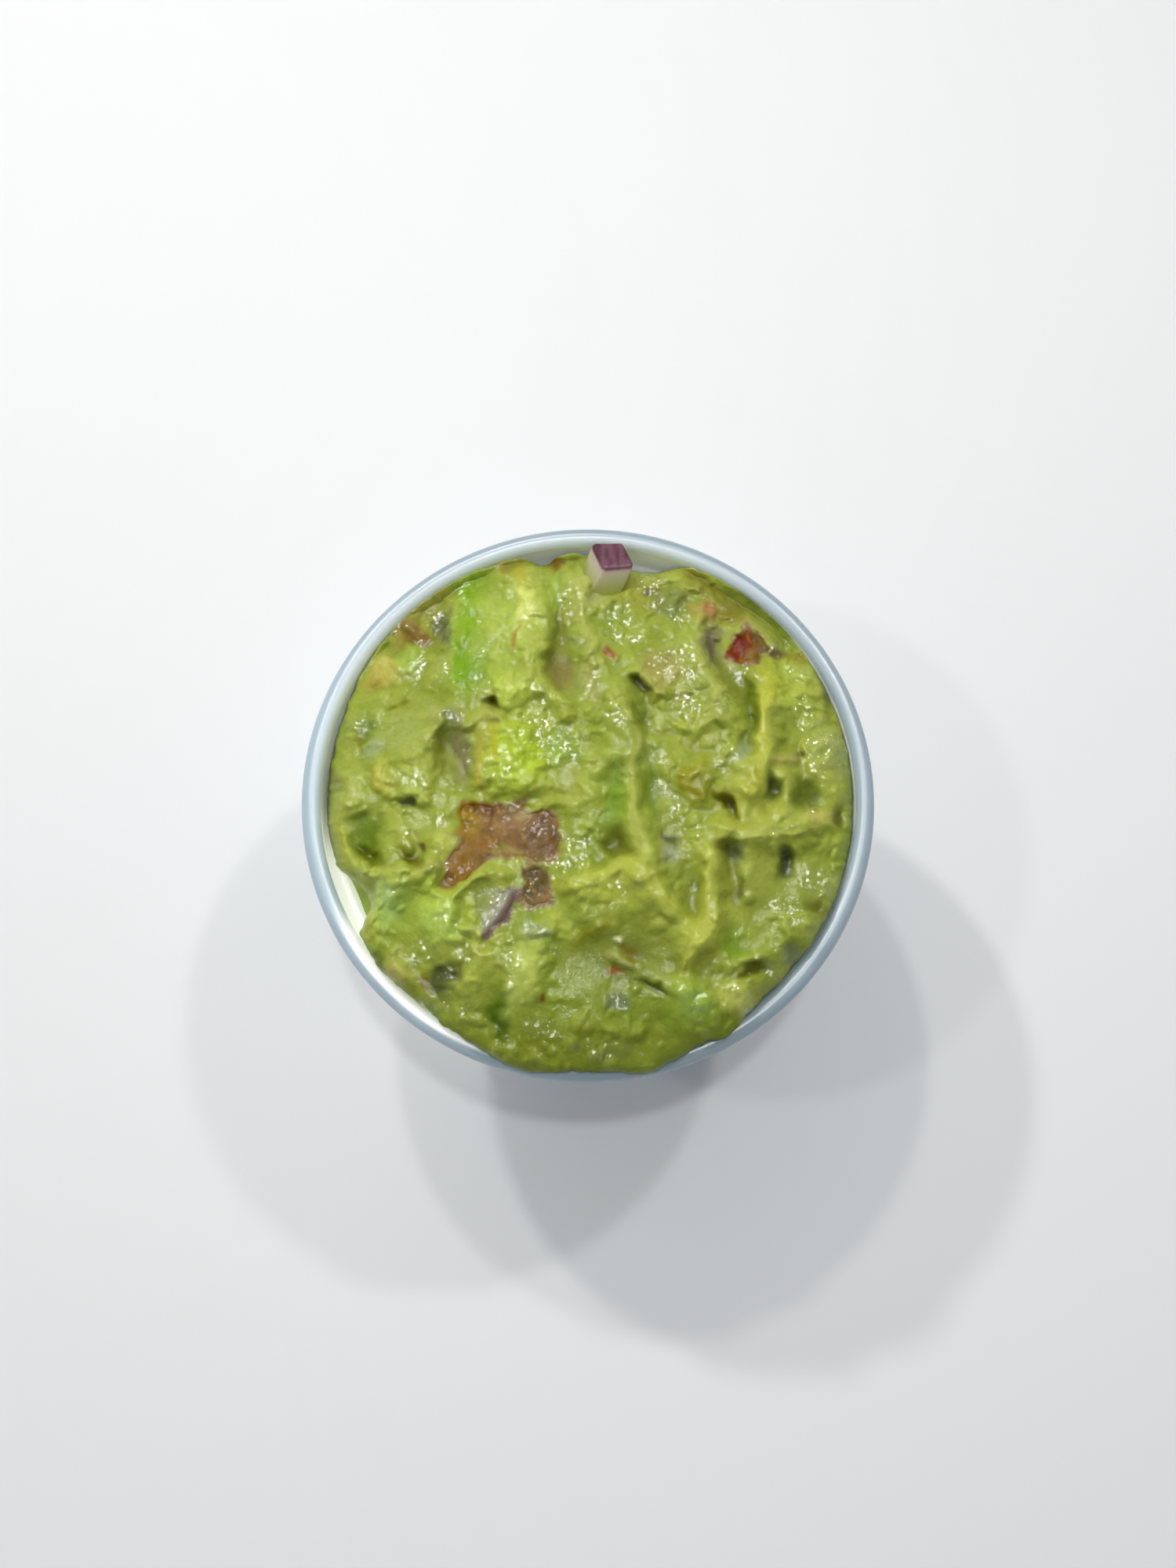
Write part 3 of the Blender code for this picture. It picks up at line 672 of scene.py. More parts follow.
# Torn crests: path, height, reach to the left and right of the path
crests = {
    "spineTop": (
        [(-3.5, 29), (-1.2, 26), (-0.9, 23), (-0.1, 20.5), (0.4, 17.5), (1.2, 15.5)], 1.5, 1.0, 2.0,
    ),
    "spine": (
        [(1.2, 15.5), (3.6, 11), (4.6, 8.5), (5.5, 6.3), (5.9, 4.8), (5.6, 2.5), (5.1, 0.3)],
        2.3, 1.4, 4.0,
    ),
    "spineFoot": ([(5.1, 0.3), (5.1, -2), (5.5, -5), (6.3, -7.5), (7, -10), (7.6, -12)], 1.8, 1.0, 1.0),
    "branch": ([(3.2, 4.2), (1.6, 2), (0.5, -1), (0, -4)], 0.7, 1.3, 1.3),
    "middleRib": ([(-0.2, 11), (-0.6, 7), (-0.4, 3), (-0.2, -1), (-0.8, -4)], 0.5, 0.9, 1.5),
    "backLobe": (
        [(-6.8, 28.5), (-6.2, 24), (-6.2, 20), (-6.1, 15), (-5.1, 12), (-3.8, 10.4)], 2.0, 0.9, 4.5,
    ),
    "petal": ([(-4.4, 10.9), (-3.4, 9.8), (-2.3, 8.2)], 1.0, 0.5, 0.6),
    "leftLobe": ([(-14.2, 28.6), (-16.2, 25.5), (-17.6, 22.2), (-18.2, 19), (-18, 17.2)], 1.2, 3.5, 0.8),
    "greenSeam": ([(-17.6, 18), (-17.4, 15), (-16.6, 12)], 0.5, 2.0, 0.6),
    "greenTip": ([(-18.8, 12), (-17.6, 9.8), (-16.2, 7.9), (-14.9, 7.7), (-13.9, 9.4)], 1.1, 2.5, 0.7),
    "archLip": (
        [(-13.9, 9.0), (-13.2, 10.3), (-12.2, 10.8), (-11.2, 10.4), (-9.5, 10.2), (-7, 10.3)],
        1.0, 2.5, 0.6,
    ),
    "yellowFold": ([(-8.4, 28.3), (-8.1, 25), (-7.9, 22)], 0.7, 1.0, 1.5),
    "lobeRib": ([(-8.9, 21), (-8.7, 18.5), (-9.3, 16)], 0.4, 0.6, 0.8),
    "pocketRim": ([(-25.4, 18.0), (-25.6, 20.2), (-24.2, 20.9), (-22.4, 20.7)], 0.7, 0.6, 0.5),
    "olivePlate": ([(-24.3, 21.8), (-21.5, 24.5), (-18.5, 26.4), (-15, 28)], 0.6, 0.8, 1.5),
    "cubeFoot": ([(-1.0, 26.6), (-0.8, 24.4), (0.6, 23.3), (2.6, 24.1), (4.4, 25.8)], 0.8, 0.9, 0.9),
    "pitLip": ([(5.4, 15.7), (6.8, 14), (8.3, 12.6), (9.6, 11.8), (11.5, 11.5)], 1.7, 3.0, 0.6),
    "eastLobe": (
        [(14.4, 21.5), (14.5, 18), (15, 15), (16.5, 12.3), (18, 10), (18.8, 7.5), (18.4, 5.5)],
        2.3, 1.0, 5.0,
    ),
    "knobFold": ([(10.8, 7.4), (13, 6.6), (15, 7.0), (17.5, 8.0)], 0.5, 0.9, 1.2),
    "rimRidge": (
        [(8.5, 27.8), (11.5, 27.2), (14.5, 26.2), (17.3, 24.6), (20, 22.3), (22.5, 19.8), (25.5, 17.6)],
        1.5, 0.9, 1.4,
    ),
    "pinkLip": ([(13.9, 21.9), (14.6, 23.5), (16.3, 23.6), (16.9, 22.2)], 0.5, 0.5, 0.6),
    "teeStem": (
        [(21.9, 14.8), (22.9, 10), (22.3, 5), (22.2, 3), (21.2, 0.5), (19.8, -1.8), (17.6, -5)],
        2.0, 1.2, 1.0,
    ),
    "teeArm": (
        [(15.2, -6.6), (17, -7.0), (18.6, -7.4), (21, -6.9), (24, -6.7), (27, -6.2), (30, -5.4)],
        1.9, 1.8, 0.8,
    ),
    "armLow": ([(20.5, -7.6), (24, -8.6), (27.2, -9.4)], 0.9, 1.5, 0.6),
    "ringCrest": (
        [(23.2, 2.4), (24.6, 0.8), (25.2, -1.4), (24.9, -3), (24, -4.3), (22.5, -5.3)], 1.4, 0.5, 0.5,
    ),
    "eastFold": ([(24.6, 15.2), (26.5, 15.4), (28.2, 14), (29.2, 11.5), (29.9, 8.5)], 1.1, 0.9, 2.5),
    "eastColumn": ([(27.8, 6), (27.8, 3.5), (28.3, 1), (29.4, -0.6)], 0.8, 1.5, 0.5),
    "eastEdge": ([(31.6, 6.5), (31.3, 3), (31.3, -1), (31, -3)], 0.7, 0.5, 1.6),
    "sliverLip": ([(17.3, 4.7), (18.4, 3.3), (19.8, 2.0), (20.9, 1.9)], 0.8, 0.5, 1.5),
    "tanEdge": ([(13.0, 2.6), (14.6, 1.2), (15.6, -0.8), (17.2, -3)], 1.1, 0.7, 2.0),
    "valleyCrest": (
        [(13.3, -7.6), (14.8, -9.5), (15.4, -12), (15.2, -17.3), (13.2, -20.6), (12.3, -23), (11.6, -25)],
        2.2, 0.9, 1.1,
    ),
    "pitWall": ([(19.3, -8.5), (19.6, -11), (19.2, -13.8)], 0.8, 1.8, 0.6),
    "frontLobe": (
        [
            (-5, -15.6), (-3.6, -13.6), (-1, -12.9), (1, -12.7), (2.4, -11.9), (3.5, -10.8),
            (5.4, -11.5), (7.3, -12.5), (8.6, -14.2), (10.2, -16), (11.4, -17.4), (12.9, -20.3),
        ],
        2.5, 0.6, 4.0,
    ),
    "frontDiagonal": (
        [(-1.4, -20.4), (0.6, -18.7), (3, -17.1), (5.4, -16.1), (8.4, -15.6)], 0.6, 2.2, 1.4,
    ),
    "frontBend": ([(-4.6, -15.8), (-3.3, -18.4), (-1.8, -20.2)], 0.6, 0.7, 1.5),
    "frontRidge": ([(-11.6, -20.3), (-12.9, -23), (-14.3, -25.3), (-15.2, -28)], 1.3, 2.2, 0.9),
    "paleEdge": ([(-9.9, -21.5), (-10, -24.5), (-9.8, -28.5)], 0.7, 2.0, 0.7),
    "paleFold": ([(-5.6, -21.3), (-5.2, -24), (-6, -27.5)], 0.4, 0.7, 1.0),
    "beanFold": ([(5.2, -24.0), (7.6, -25.2), (9.9, -26.7)], 0.9, 2.0, 0.5),
    "frontRoll": ([(-5, -31.5), (-1.5, -30.8), (2, -30.4), (5.8, -30.9)], 0.5, 1.2, 0.8),
    "frontRollLow": ([(-1.5, -33.5), (2.2, -33.1), (5.2, -33.6)], 0.4, 1.0, 0.8),
    "chunkTop": ([(10.2, -28), (12.1, -26.3), (13.9, -26.2), (14.4, -28.6)], 0.9, 0.7, 1.0),
    "southLedge": (
        [(15.8, -22.3), (18.4, -23.1), (20.5, -22.7), (23, -21.2), (26, -19.3), (28.4, -17.3)],
        0.9, 2.2, 0.7,
    ),
    "lowFold": ([(16.8, -24.4), (18.8, -25), (19.9, -26.3)], 0.7, 0.5, 1.2),
    "slabSide": (
        [(-20.2, 10), (-19.4, 8.5), (-19.1, 7.1), (-19.7, 6), (-19.8, 4.5), (-20.2, 2.4)], 1.9, 0.6, 4.0,
    ),
    "slabFoot": ([(-20.2, 2.2), (-22.3, 2.8), (-24, 2.6), (-25.5, 2.3), (-27.8, 1.2)], 1.4, 0.6, 3.5),
    "knobArch": ([(-24.2, 0.9), (-23, 1.6), (-21.2, 1.6), (-20.2, 0.4)], 0.6, 0.5, 1.4),
    "knobLip": ([(-24.8, -1.8), (-23, -2.2), (-21, -2.6), (-19, -2.6)], 1.1, 1.6, 0.5),
    "clusterLip": ([(-31.8, -2.8), (-30.9, -4.2), (-29.4, -4.4), (-28.2, -3.4)], 0.9, 2.0, 0.6),
    "leftBlade": ([(-25.4, -5), (-25.2, -8), (-24.2, -11), (-23.2, -12.2)], 1.4, 1.2, 0.8),
    "leftBladeLow": ([(-23.4, -4.8), (-22.9, -8), (-22.0, -9.8)], 0.8, 0.7, 0.7),
    "wallRidge": ([(-31.0, -4.6), (-30.9, -8), (-29.9, -11), (-29.0, -14)], 1.3, 0.8, 1.0),
    "tomatoBank": ([(-18.6, -4.8), (-18.9, -7), (-18.5, -9.6)], 0.6, 0.9, 0.9),
    "tomatoBack": ([(-12.8, -2.3), (-10, -3.1), (-7.6, -2.5)], 0.5, 0.9, 0.5),
    "chunkRidgeA": ([(-11.2, 8), (-9.4, 5.4), (-7.9, 3.2)], 0.9, 0.6, 0.7),
    "chunkRidgeB": ([(-12.4, 6.5), (-11, 3.5), (-10.6, 0.5), (-11, -2)], 0.6, 0.7, 0.6),
    "chunkRidgeC": ([(-9.2, 2.6), (-7.6, 0.2), (-7.2, -1.2)], 0.5, 0.6, 0.6),
    "chunkSide": ([(-13.4, 7), (-13.8, 3), (-13.3, -1.5)], 0.9, 2.0, 0.7),
    "cornerLobe": (
        [(-27.6, -11.1), (-26.6, -11.9), (-25.2, -12.0), (-23.8, -12.4), (-22, -12), (-20, -11.1),
         (-18.7, -11.6), (-17.5, -13), (-16.3, -13.7), (-14.8, -13.6), (-14, -14.6)],
        2.4, 0.6, 4.5,
    ),
    "cornerFlap": ([(-27.6, -11.2), (-27.8, -13.6), (-28.1, -16.2), (-28.3, -18.8)], 1.1, 1.2, 0.5),
    "cornerCrease": ([(-26.3, -13.4), (-26.1, -16), (-26.5, -19)], -0.5, 0.7, 0.7),
    "swirlRim": ([(-19.2, -15.6), (-20.0, -17.8), (-18.6, -19.6), (-16.4, -19.9)], 0.5, 1.0, 0.6),
}

# Crests that are flat ribbons: half the width of the top
ribbons = {
    "spine": 0.4, "spineFoot": 0.35, "frontLobe": 0.5, "valleyCrest": 0.45, "teeStem": 0.8,
    "teeArm": 0.5, "ringCrest": 0.3, "eastFold": 0.6, "wallRidge": 0.4, "leftBlade": 0.3,
    "paleEdge": 0.3, "cornerLobe": 0.3, "rimRidge": 0.4, "backLobe": 0.3, "branch": 0.3,
    "middleRib": 0.3,
}

# Hollows: centre, half sizes, turn in degrees, depth
hollows = {
    "backValley": ((-3.7, 16.5), (2.2, 6.2), 0, 1.6),
    "backPit": ((6.6, 12.8), (1.8, 0.9), -22, 1.5),
    "spineValley": ((6.6, 8.8), (1.8, 3.8), 5, 0.8),
    "spineValleyLow": ((7.4, 0.5), (1.8, 4.2), 0, 0.7),
    "eastValley": ((19.3, 10), (1.6, 6.5), 18, 2.1),
    "slit": ((17.3, -3.6), (0.6, 1.6), 35, 1.6),
    "slitSide": ((16.3, -2.4), (1.3, 2.2), 30, 0.7),
    "ringPit": ((23.9, -1), (1.0, 2.3), 10, 1.5),
    "sideHollow": ((27.2, -1.8), (1.8, 2.6), -20, 0.9),
    "flapPit": ((17.6, -9.6), (1.3, 2.0), 0, 1.1),
    "deepHole": ((24.6, -10.7), (1.2, 1.5), -10, 1.9),
    "tentPit": ((3.7, -9.0), (2.2, 2.8), 0, 2.0),
    "tentPitTop": ((3.9, -6.8), (0.8, 1.4), 0, 0.7),
    "lowValley": ((13, -16.5), (1.5, 4.0), -10, 1.0),
    "lowValleyEast": ((17.2, -13), (1.4, 4.0), 0, 0.8),
    "archPit": ((-12.6, 9.8), (1.1, 0.6), 0, 1.5),
    "leftCrease": ((-24.0, 9.3), (1.4, 0.5), 15, 0.4),
    "shelfPit": ((-23, -3.0), (1.3, 0.6), -12, 1.0),
    "leftBowl": ((-27.4, -7.4), (2.2, 3.0), -25, 1.0),
    "brownPit": ((-21.5, -10.4), (1.1, 0.9), -30, 0.7),
    "oliveValley": ((-17.8, 4.5), (1.5, 5.0), 8, 1.0),
    "notchEast": ((31.5, -5), (0.8, 1.6), 0, 1.2),
    "notchLow": ((28, -16.4), (0.9, 1.0), 0, 0.9),
    "frontHollow": ((19.3, -24.3), (2.2, 0.8), 15, 1.1),
    "patchHollow": ((25.0, -22), (1.5, 1.2), 45, 0.9),
    "frontSeat": ((-17.0, -25.8), (1.9, 2.4), 0, 0.9),
    "frontCrease": ((7.8, -25.9), (2.4, 0.5), -28, 1.0),
    "lobeFall": ((4.5, -22), (6.0, 3.5), 0, 1.0),
    "eastCrease": ((10.5, 6.2), (2.6, 0.6), 5, 0.6),
    "greenHollow": ((2.9, -1.3), (1.8, 3.4), 0, 0.8),
    "rimTrough": ((22.5, 22.3), (1.4, 7.5), 48, 0.8),
    "cubeSeat": ((3.2, 30.4), (2.8, 1.2), 0, 1.6),
    "pocketGap": ((-19.0, 20.4), (1.0, 2.0), -15, 1.2),
    "bubbleSeat": ((16.4, 18), (1.6, 2.6), 0, 0.9),
    "cubeFoot": ((2.2, 26.0), (1.7, 1.2), 10, 1.6),
    "bowlFoot": ((-26.2, -10.4), (3.4, 1.0), -28, 1.3),
}

# Lumps: centre, half sizes, turn in degrees, height
lumps = {
    "brightChunk": ((-9.6, 3), (3.6, 5.4), -8, 1.2),
    "backDome": ((-11.5, 19.5), (5.5, 9.5), 0, 1.0),
    "backPeak": ((-10, 28.2), (3.8, 2.6), 0, 2.2),
    "yellowLump": ((-9.7, 12.4), (2.6, 1.6), 0, 1.0),
    "archDome": ((-12.3, 8.6), (1.1, 0.9), 0, 0.9),
    "sideDome": ((-18.8, 14.5), (1.7, 2.1), 0, 0.9),
    "pocketLump": ((-22.8, 20.0), (2.1, 2.6), 0, 0.9),
    "leftLump": ((-26.4, 14.8), (2.2, 1.9), 10, 0.9),
    "greenBead": ((-22.8, 16.0), (1.5, 1.4), 0, 0.8),
    "leftTop": ((-25.2, 10.6), (2.6, 1.4), 15, 0.7),
    "eastKnob": ((15.2, 8.4), (2.8, 1.9), 0, 0.9),
    "middleKnob": ((10.2, 2.3), (2.6, 2.2), 0, 1.0),
    "tanKnob": ((13.4, -0.6), (1.8, 2.8), -15, 1.0),
    "pinkLump": ((15.5, 22.6), (1.3, 0.9), 0, 0.8),
    "eastLump": ((29.6, 3.5), (1.8, 3.3), 5, 1.0),
    "eastTop": ((27, 11.5), (2.6, 3.0), 0, 0.8),
    "armLump": ((28.5, -5.3), (2.1, 1.4), 0, 0.8),
    "paleLump": ((-25.8, -0.4), (1.2, 2.0), 0, 1.0),
    "knob": ((-22.2, -0.4), (1.9, 1.5), 0, 0.8),
    "leftCluster": ((-30.2, -1.2), (1.9, 3.0), 0, 1.1),
    "greyRound": ((-18.4, 8.4), (1.3, 1.4), 0, 0.7),
    "tongue": ((-12.0, -12.2), (2.6, 1.6), -15, 1.2),
    "tongueBead": ((-14.0, -12.3), (1.1, 1.4), -30, 1.0),
    "tomatoSide": ((-17.6, -7.8), (1.1, 2.4), 0, 0.8),
    "bubbleDome": ((-6.3, -19.2), (2.6, 2.4), 0, 0.6),
    "swirl": ((-17.5, -17.5), (2.2, 2.0), 0, 1.0),
    "swirlBead": ((-14.3, -18.9), (0.9, 0.8), 0, 0.7),
    "swirlBeadSmall": ((-12.9, -18.6), (0.7, 0.7), 0, 0.5),
    "cornerChunk": ((-22.9, -24.5), (1.7, 1.9), 20, 1.1),
    "frontChunk": ((-7.6, -25), (2.0, 4.0), -6, 1.2),
    "frontGreen": ((12.4, -28.4), (2.6, 2.4), 0, 1.3),
    "frontYellow": ((17.6, -27.2), (2.2, 1.7), 0, 1.3),
    "bean": ((4.2, -22.7), (1.2, 0.7), -10, 1.0),
    "pebble": ((4.2, -20.5), (0.4, 0.4), 0, 0.4),
    "bubbleBack": ((11, 24), (1.4, 1.3), 0, 0.6),
    "bubbleEast": ((17, 18.9), (0.9, 0.9), 0, 0.7),
    "bubbleFront": ((-6.3, -19.3), (0.8, 0.7), 0, 0.6),
    "bubbleSide": ((28.7, 7.3), (0.7, 0.7), 0, 0.5),
    "onionFlat": ((9.9, -9.4), (1.6, 1.7), 0, 0.5),
    "tanPebble": ((24.9, 2.7), (1.2, 0.7), -10, 0.7),
    "cornerTip": ((-27.5, -11.7), (0.8, 0.9), 0, 1.3),
    "stemTop": ((22.4, 11.4), (1.3, 3.4), 5, 0.9),
    "stemMiddle": ((22.3, 5), (1.2, 3.2), 0, 0.9),
    "cubeBank": ((-1.0, 26.8), (1.3, 1.6), 10, 0.6),
    "lobeTipA": ((3.3, -11.3), (1.0, 0.9), 0, 0.7),
    "lobeTipB": ((0.4, -12.9), (1.1, 0.7), 0, 0.4),
    "lobeTipC": ((-2.6, -13.7), (1.2, 0.8), 0, 0.4),
    "lobeTipD": ((6.6, -13.0), (1.1, 0.8), -20, 0.4),
}

# Places of own colour, painted shade and painted light: centre, half sizes, turn in degrees, colour,
# strength
tints = {
    "olivePlate": ((-20.5, 25), (5.5, 1.7), 40, (150, 145, 70), 0.7),
    "pocketRim": ((-24.6, 19.6), (1.0, 2.4), 0, (162, 150, 74), 0.7),
    "pocketBrown": ((-22.5, 19.5), (1.9, 2.1), 0, (128, 102, 50), 1.0),
    # Painted shade in the gap between the pocket lump and the green lobe
    "pocketGapShade": ((-18.9, 20.5), (1.1, 2.2), 15, (120, 126, 80), 0.85),
    "vividStreak": ((-15.8, 22), (1.9, 6.4), -5, (134, 174, 40), 0.85),
    "vividPatch": ((-15.8, 14.8), (2.0, 3.2), 0, (126, 168, 36), 0.85),
    "bluePatch": ((-14.8, 18.3), (1.0, 0.8), 0, (138, 160, 76), 0.4),
    "paleLobe": ((-10.8, 19.5), (3.6, 7.0), 0, (178, 200, 94), 0.6),
    # Pale yellow ridge, made paler on its top as painted light
    "paleRidgeLight": ((-8.7, 24), (1.2, 3.4), 12, (220, 228, 126), 0.9),
    "lobeBrown": ((-8.9, 19), (0.35, 1.6), 0, (164, 120, 60), 0.7),
    "lobeTop": ((-11, 29.6), (4.5, 1.5), 0, (140, 132, 56), 0.75),
    "yellowTop": ((-8.5, 27.3), (1.0, 1.6), 0, (178, 170, 48), 0.6),
    "topSlope": ((-3.6, 25.4), (2.0, 3.2), -30, (166, 190, 82), 0.6),
    "topBrown": ((-4.3, 29.2), (0.9, 0.7), 20, (124, 82, 36), 0.9),
    # Painted shade in the back valley
    "backValley": ((-4, 17.5), (2.0, 4.8), 0, (140, 148, 64), 0.8),
    "pinkValley": ((-3, 13.6), (1.6, 1.5), 0, (150, 132, 84), 0.65),
    "valleyPatch": ((-1.6, 18.4), (0.9, 1.0), 0, (150, 160, 96), 0.6),
    "spineTop": ((0.6, 13), (1.3, 3.0), 8, (178, 178, 106), 0.6),
    "redBit": ((2.7, 17.2), (0.6, 1.2), 0, (150, 76, 24), 0.95),
    # Painted shade in the dark back pit
    "backPitShade": ((6.6, 12.8), (1.5, 0.6), -22, (64, 66, 54), 0.85),
    "spineShade": ((6.2, 9.5), (1.2, 3.6), 5, (124, 142, 62), 0.7),
    "pinkTan": ((9.5, 14.5), (2.6, 2.6), 0, (166, 152, 88), 0.6),
    "oliveTop": ((6.5, 25), (5.5, 2.0), 0, (146, 146, 60), 0.6),
    "darkSpot": ((8.2, 25.2), (0.7, 0.5), 0, (96, 82, 40), 0.85),
    "cubeGlass": ((0.6, 26.6), (1.8, 2.2), 0, (180, 186, 112), 0.75),
    "cubeFlesh": ((1.2, 24.6), (1.6, 0.9), 10, (184, 186, 124), 0.6),
    "backGrey": ((11, 24), (2.2, 1.8), 0, (124, 136, 82), 0.7),
    "pinkLump": ((15.5, 22.7), (1.4, 0.9), 0, (176, 126, 84), 0.9),
    "amber": ((18.2, 22.7), (1.1, 1.0), 0, (150, 140, 30), 0.85),
    "eastGrey": ((16.2, 18.2), (1.4, 2.8), -5, (130, 118, 100), 0.85),
    "eastBrown": ((24.2, 17.3), (1.9, 0.9), -25, (116, 92, 60), 0.85),
    "eastBrownLow": ((27, 16.4), (1.5, 0.8), -15, (138, 118, 40), 0.75),
    "rimRidge": ((17, 24.8), (6.5, 1.4), -38, (138, 132, 58), 0.85),
    "eastLobe": ((15.6, 12), (1.6, 4.5), 18, (150, 162, 88), 0.5),
    "rimOlive": ((24.4, 22.4), (1.4, 7.5), 50, (100, 114, 46), 0.85),
    "rimOliveEast": ((30.5, 12.5), (0.8, 4.0), 10, (104, 112, 48), 0.8),
    "eastBright": ((26.6, 11.5), (2.3, 3.6), 0, (184, 198, 84), 0.6),
    "stem": ((22.5, 10.5), (1.2, 5.0), 0, (192, 194, 64), 0.8),
    "stemLow": ((21.9, 2.2), (1.1, 4.4), -8, (178, 182, 68), 0.65),
    "spineCrest": ((4.9, 5.5), (1.0, 4.2), -12, (132, 148, 54), 0.7),
    "stemShade": ((20.5, 9.5), (0.8, 3.6), 12, (104, 122, 46), 0.8),
    "sliver": ((19.8, 3.8), (0.8, 1.6), -25, (170, 184, 140), 0.8),
    "tanLump": ((24.8, 2.7), (1.5, 0.7), -10, (172, 162, 98), 0.6),
    "eastBrownBit": ((26.5, 3.2), (0.9, 0.5), -20, (118, 96, 54), 0.75),
    # Painted shade in the side hollow
    "sideHollowShade": ((27.2, -1.8), (1.6, 2.2), -10, (98, 114, 48), 0.75),
    "column": ((29.7, 3), (1.4, 3.6), 5, (172, 184, 86), 0.5),
    "armPale": ((28.6, -5.2), (1.8, 1.2), 0, (196, 180, 104), 0.7),
    "arm": ((18.5, -6.2), (3.0, 1.2), -5, (158, 170, 72), 0.6),
    "tanKnob": ((13.4, 0.0), (1.4, 2.6), -15, (146, 138, 40), 0.85),
    "slitShade": ((16.2, -2.2), (0.8, 1.8), 30, (122, 116, 40), 0.8),
    # Painted shadow in the slit
    "slit": ((17.4, -3.8), (0.35, 1.0), 35, (44, 48, 30), 0.9),
    # Painted shade in the ring pit
    "ringPitShade": ((24, -1.2), (0.9, 1.9), 10, (106, 118, 64), 0.85),
    "ringPitTopShade": ((23.8, 0.6), (0.7, 0.7), 0, (92, 100, 74), 0.8),
    "middleGreen": ((3.2, -1.6), (1.6, 4.0), 0, (128, 164, 58), 0.7),
    "middleGreenEast": ((7.2, -1.6), (1.1, 3.6), 0, (116, 144, 50), 0.7),
    "middleShade": ((6.9, 3.5), (1.0, 2.6), 0, (148, 164, 78), 0.6),
    "middleBlue": ((9.0, 3.2), (1.0, 1.4), 10, (138, 162, 84), 0.5),
    "onionGrey": ((9.9, -8.9), (1.4, 1.6), 0, (148, 156, 112), 0.9),
    "onionEdge": ((9.9, -7.2), (1.6, 0.45), -12, (86, 92, 64), 0.8),
    # Painted shade in the tent pit
    "tentPitShade": ((3.8, -8.6), (2.2, 2.7), 0, (140, 150, 64), 0.85),
    "speckle": ((-3.2, 4.0), (1.8, 2.6), 20, (146, 178, 70), 0.65),
    "brightChunk": ((-9, 3.2), (3.6, 4.8), -8, (186, 210, 64), 0.85),
    "chunkEdge": ((-13.6, 2.5), (0.7, 4.6), 0, (184, 176, 78), 0.75),
    "chunkAmber": ((-12, 5), (0.6, 2.2), 0, (202, 196, 60), 0.6),
    "yellowLump": ((-9.6, 12.2), (2.8, 1.5), 0, (190, 208, 84), 0.7),
    "archShade": ((-12.6, 10.2), (1.3, 0.5), 0, (86, 82, 36), 0.9),
    "archDome": ((-12.4, 8.6), (1.1, 0.8), 0, (160, 164, 92), 0.6),
    "greyRound": ((-18.4, 8.2), (1.6, 1.6), 0, (124, 132, 92), 0.8),
    "greyValley": ((-16.2, 3.6), (1.3, 3.6), 5, (144, 138, 98), 0.85),
    # Painted shade on the valley's dark side beside the slab
    "valleySideShade": ((-19, 4), (0.8, 3.4), 3, (124, 132, 54), 0.7),
    "slab": ((-23.5, 6), (3.0, 2.8), 0, (168, 178, 98), 0.6),
    "slabGrey": ((-27.3, 4.4), (1.3, 1.7), 0, (164, 176, 128), 0.75),
    # Painted shade in the left crease
    "leftCrease": ((-24, 9.4), (1.2, 0.35), 15, (146, 142, 44), 0.6),
    "leftYellow": ((-26.4, 14.7), (2.2, 1.7), 10, (196, 186, 96), 0.85),
    "leftOrange": ((-28.2, 13), (1.2, 1.6), -30, (178, 158, 72), 0.6),
    "leftGreen": ((-22.9, 16.2), (1.5, 1.4), 0, (166, 192, 84), 0.7),
    "leftBrown": ((-29.6, 5.8), (0.6, 1.2), 0, (120, 114, 46), 0.6),
    # Painted shade in a small hollow at the left
    "leftHollowShade": ((-28.5, 7.0), (1.5, 1.0), 0, (116, 134, 60), 0.6),
    "paleYellow": ((-25.8, -0.3), (1.1, 1.9), 0, (204, 200, 92), 0.85),
    "knob": ((-22, -0.2), (1.9, 1.4), 0, (174, 194, 92), 0.6),
    "leftChunk": ((-31.6, -0.2), (0.9, 1.3), 0, (120, 126, 74), 0.75),
    # Painted shade in the left bowl, under the corner lobe's crest
    "leftBowl": ((-27.4, -7.2), (2.4, 2.6), -20, (112, 138, 52), 0.7),
    "bowlShade": ((-26.4, -10.5), (3.4, 1.1), -28, (96, 104, 28), 0.85),
    # Painted shade in the pit under the knob
    "shelfPitShade": ((-23, -2.9), (1.2, 0.5), -12, (90, 104, 62), 0.85),
    "wallRidge": ((-30.6, -9), (0.8, 4.6), 12, (170, 176, 70), 0.6),
    "brownPit": ((-21.2, -10.7), (1.8, 1.3), -30, (86, 60, 16), 1.0),
    "brownSpot": ((-20.2, -8.2), (0.5, 0.5), 0, (106, 80, 46), 0.85),
    "tomatoFlap": ((-8.3, -2.8), (1.7, 0.4), 38, (136, 108, 74), 0.85),
    "tomatoSide": ((-17.6, -7.8), (1.0, 2.2), 0, (196, 200, 98), 0.8),
    "legJoin": ((-6.6, -11.2), (1.3, 0.8), 0, (142, 122, 86), 0.85),
    "bubbleFront": ((-6.3, -19.3), (1.4, 1.3), 0, (146, 158, 118), 0.7),
    "eastSouth": ((24.5, -14), (5.0, 4.2), 0, (152, 164, 76), 0.6),
    "pinkBank": ((-18.6, -11), (2.0, 1.0), -15, (170, 150, 112), 0.75),
    "cornerGreen": ((-20, -15.5), (6.5, 4.6), 0, (172, 194, 76), 0.6),
    # Vivid green of the swirl, made lighter as painted light
    "swirl": ((-17.6, -18.0), (2.4, 1.9), 0, (196, 226, 108), 0.8),
    # Painted light that lifts the shade beside the corner flap
    "leftPaintedLight": ((-24.2, -16), (2.0, 2.8), 0, (190, 222, 122), 0.85),
    "flap": ((-27.8, -15), (0.7, 3.4), 3, (178, 184, 84), 0.65),
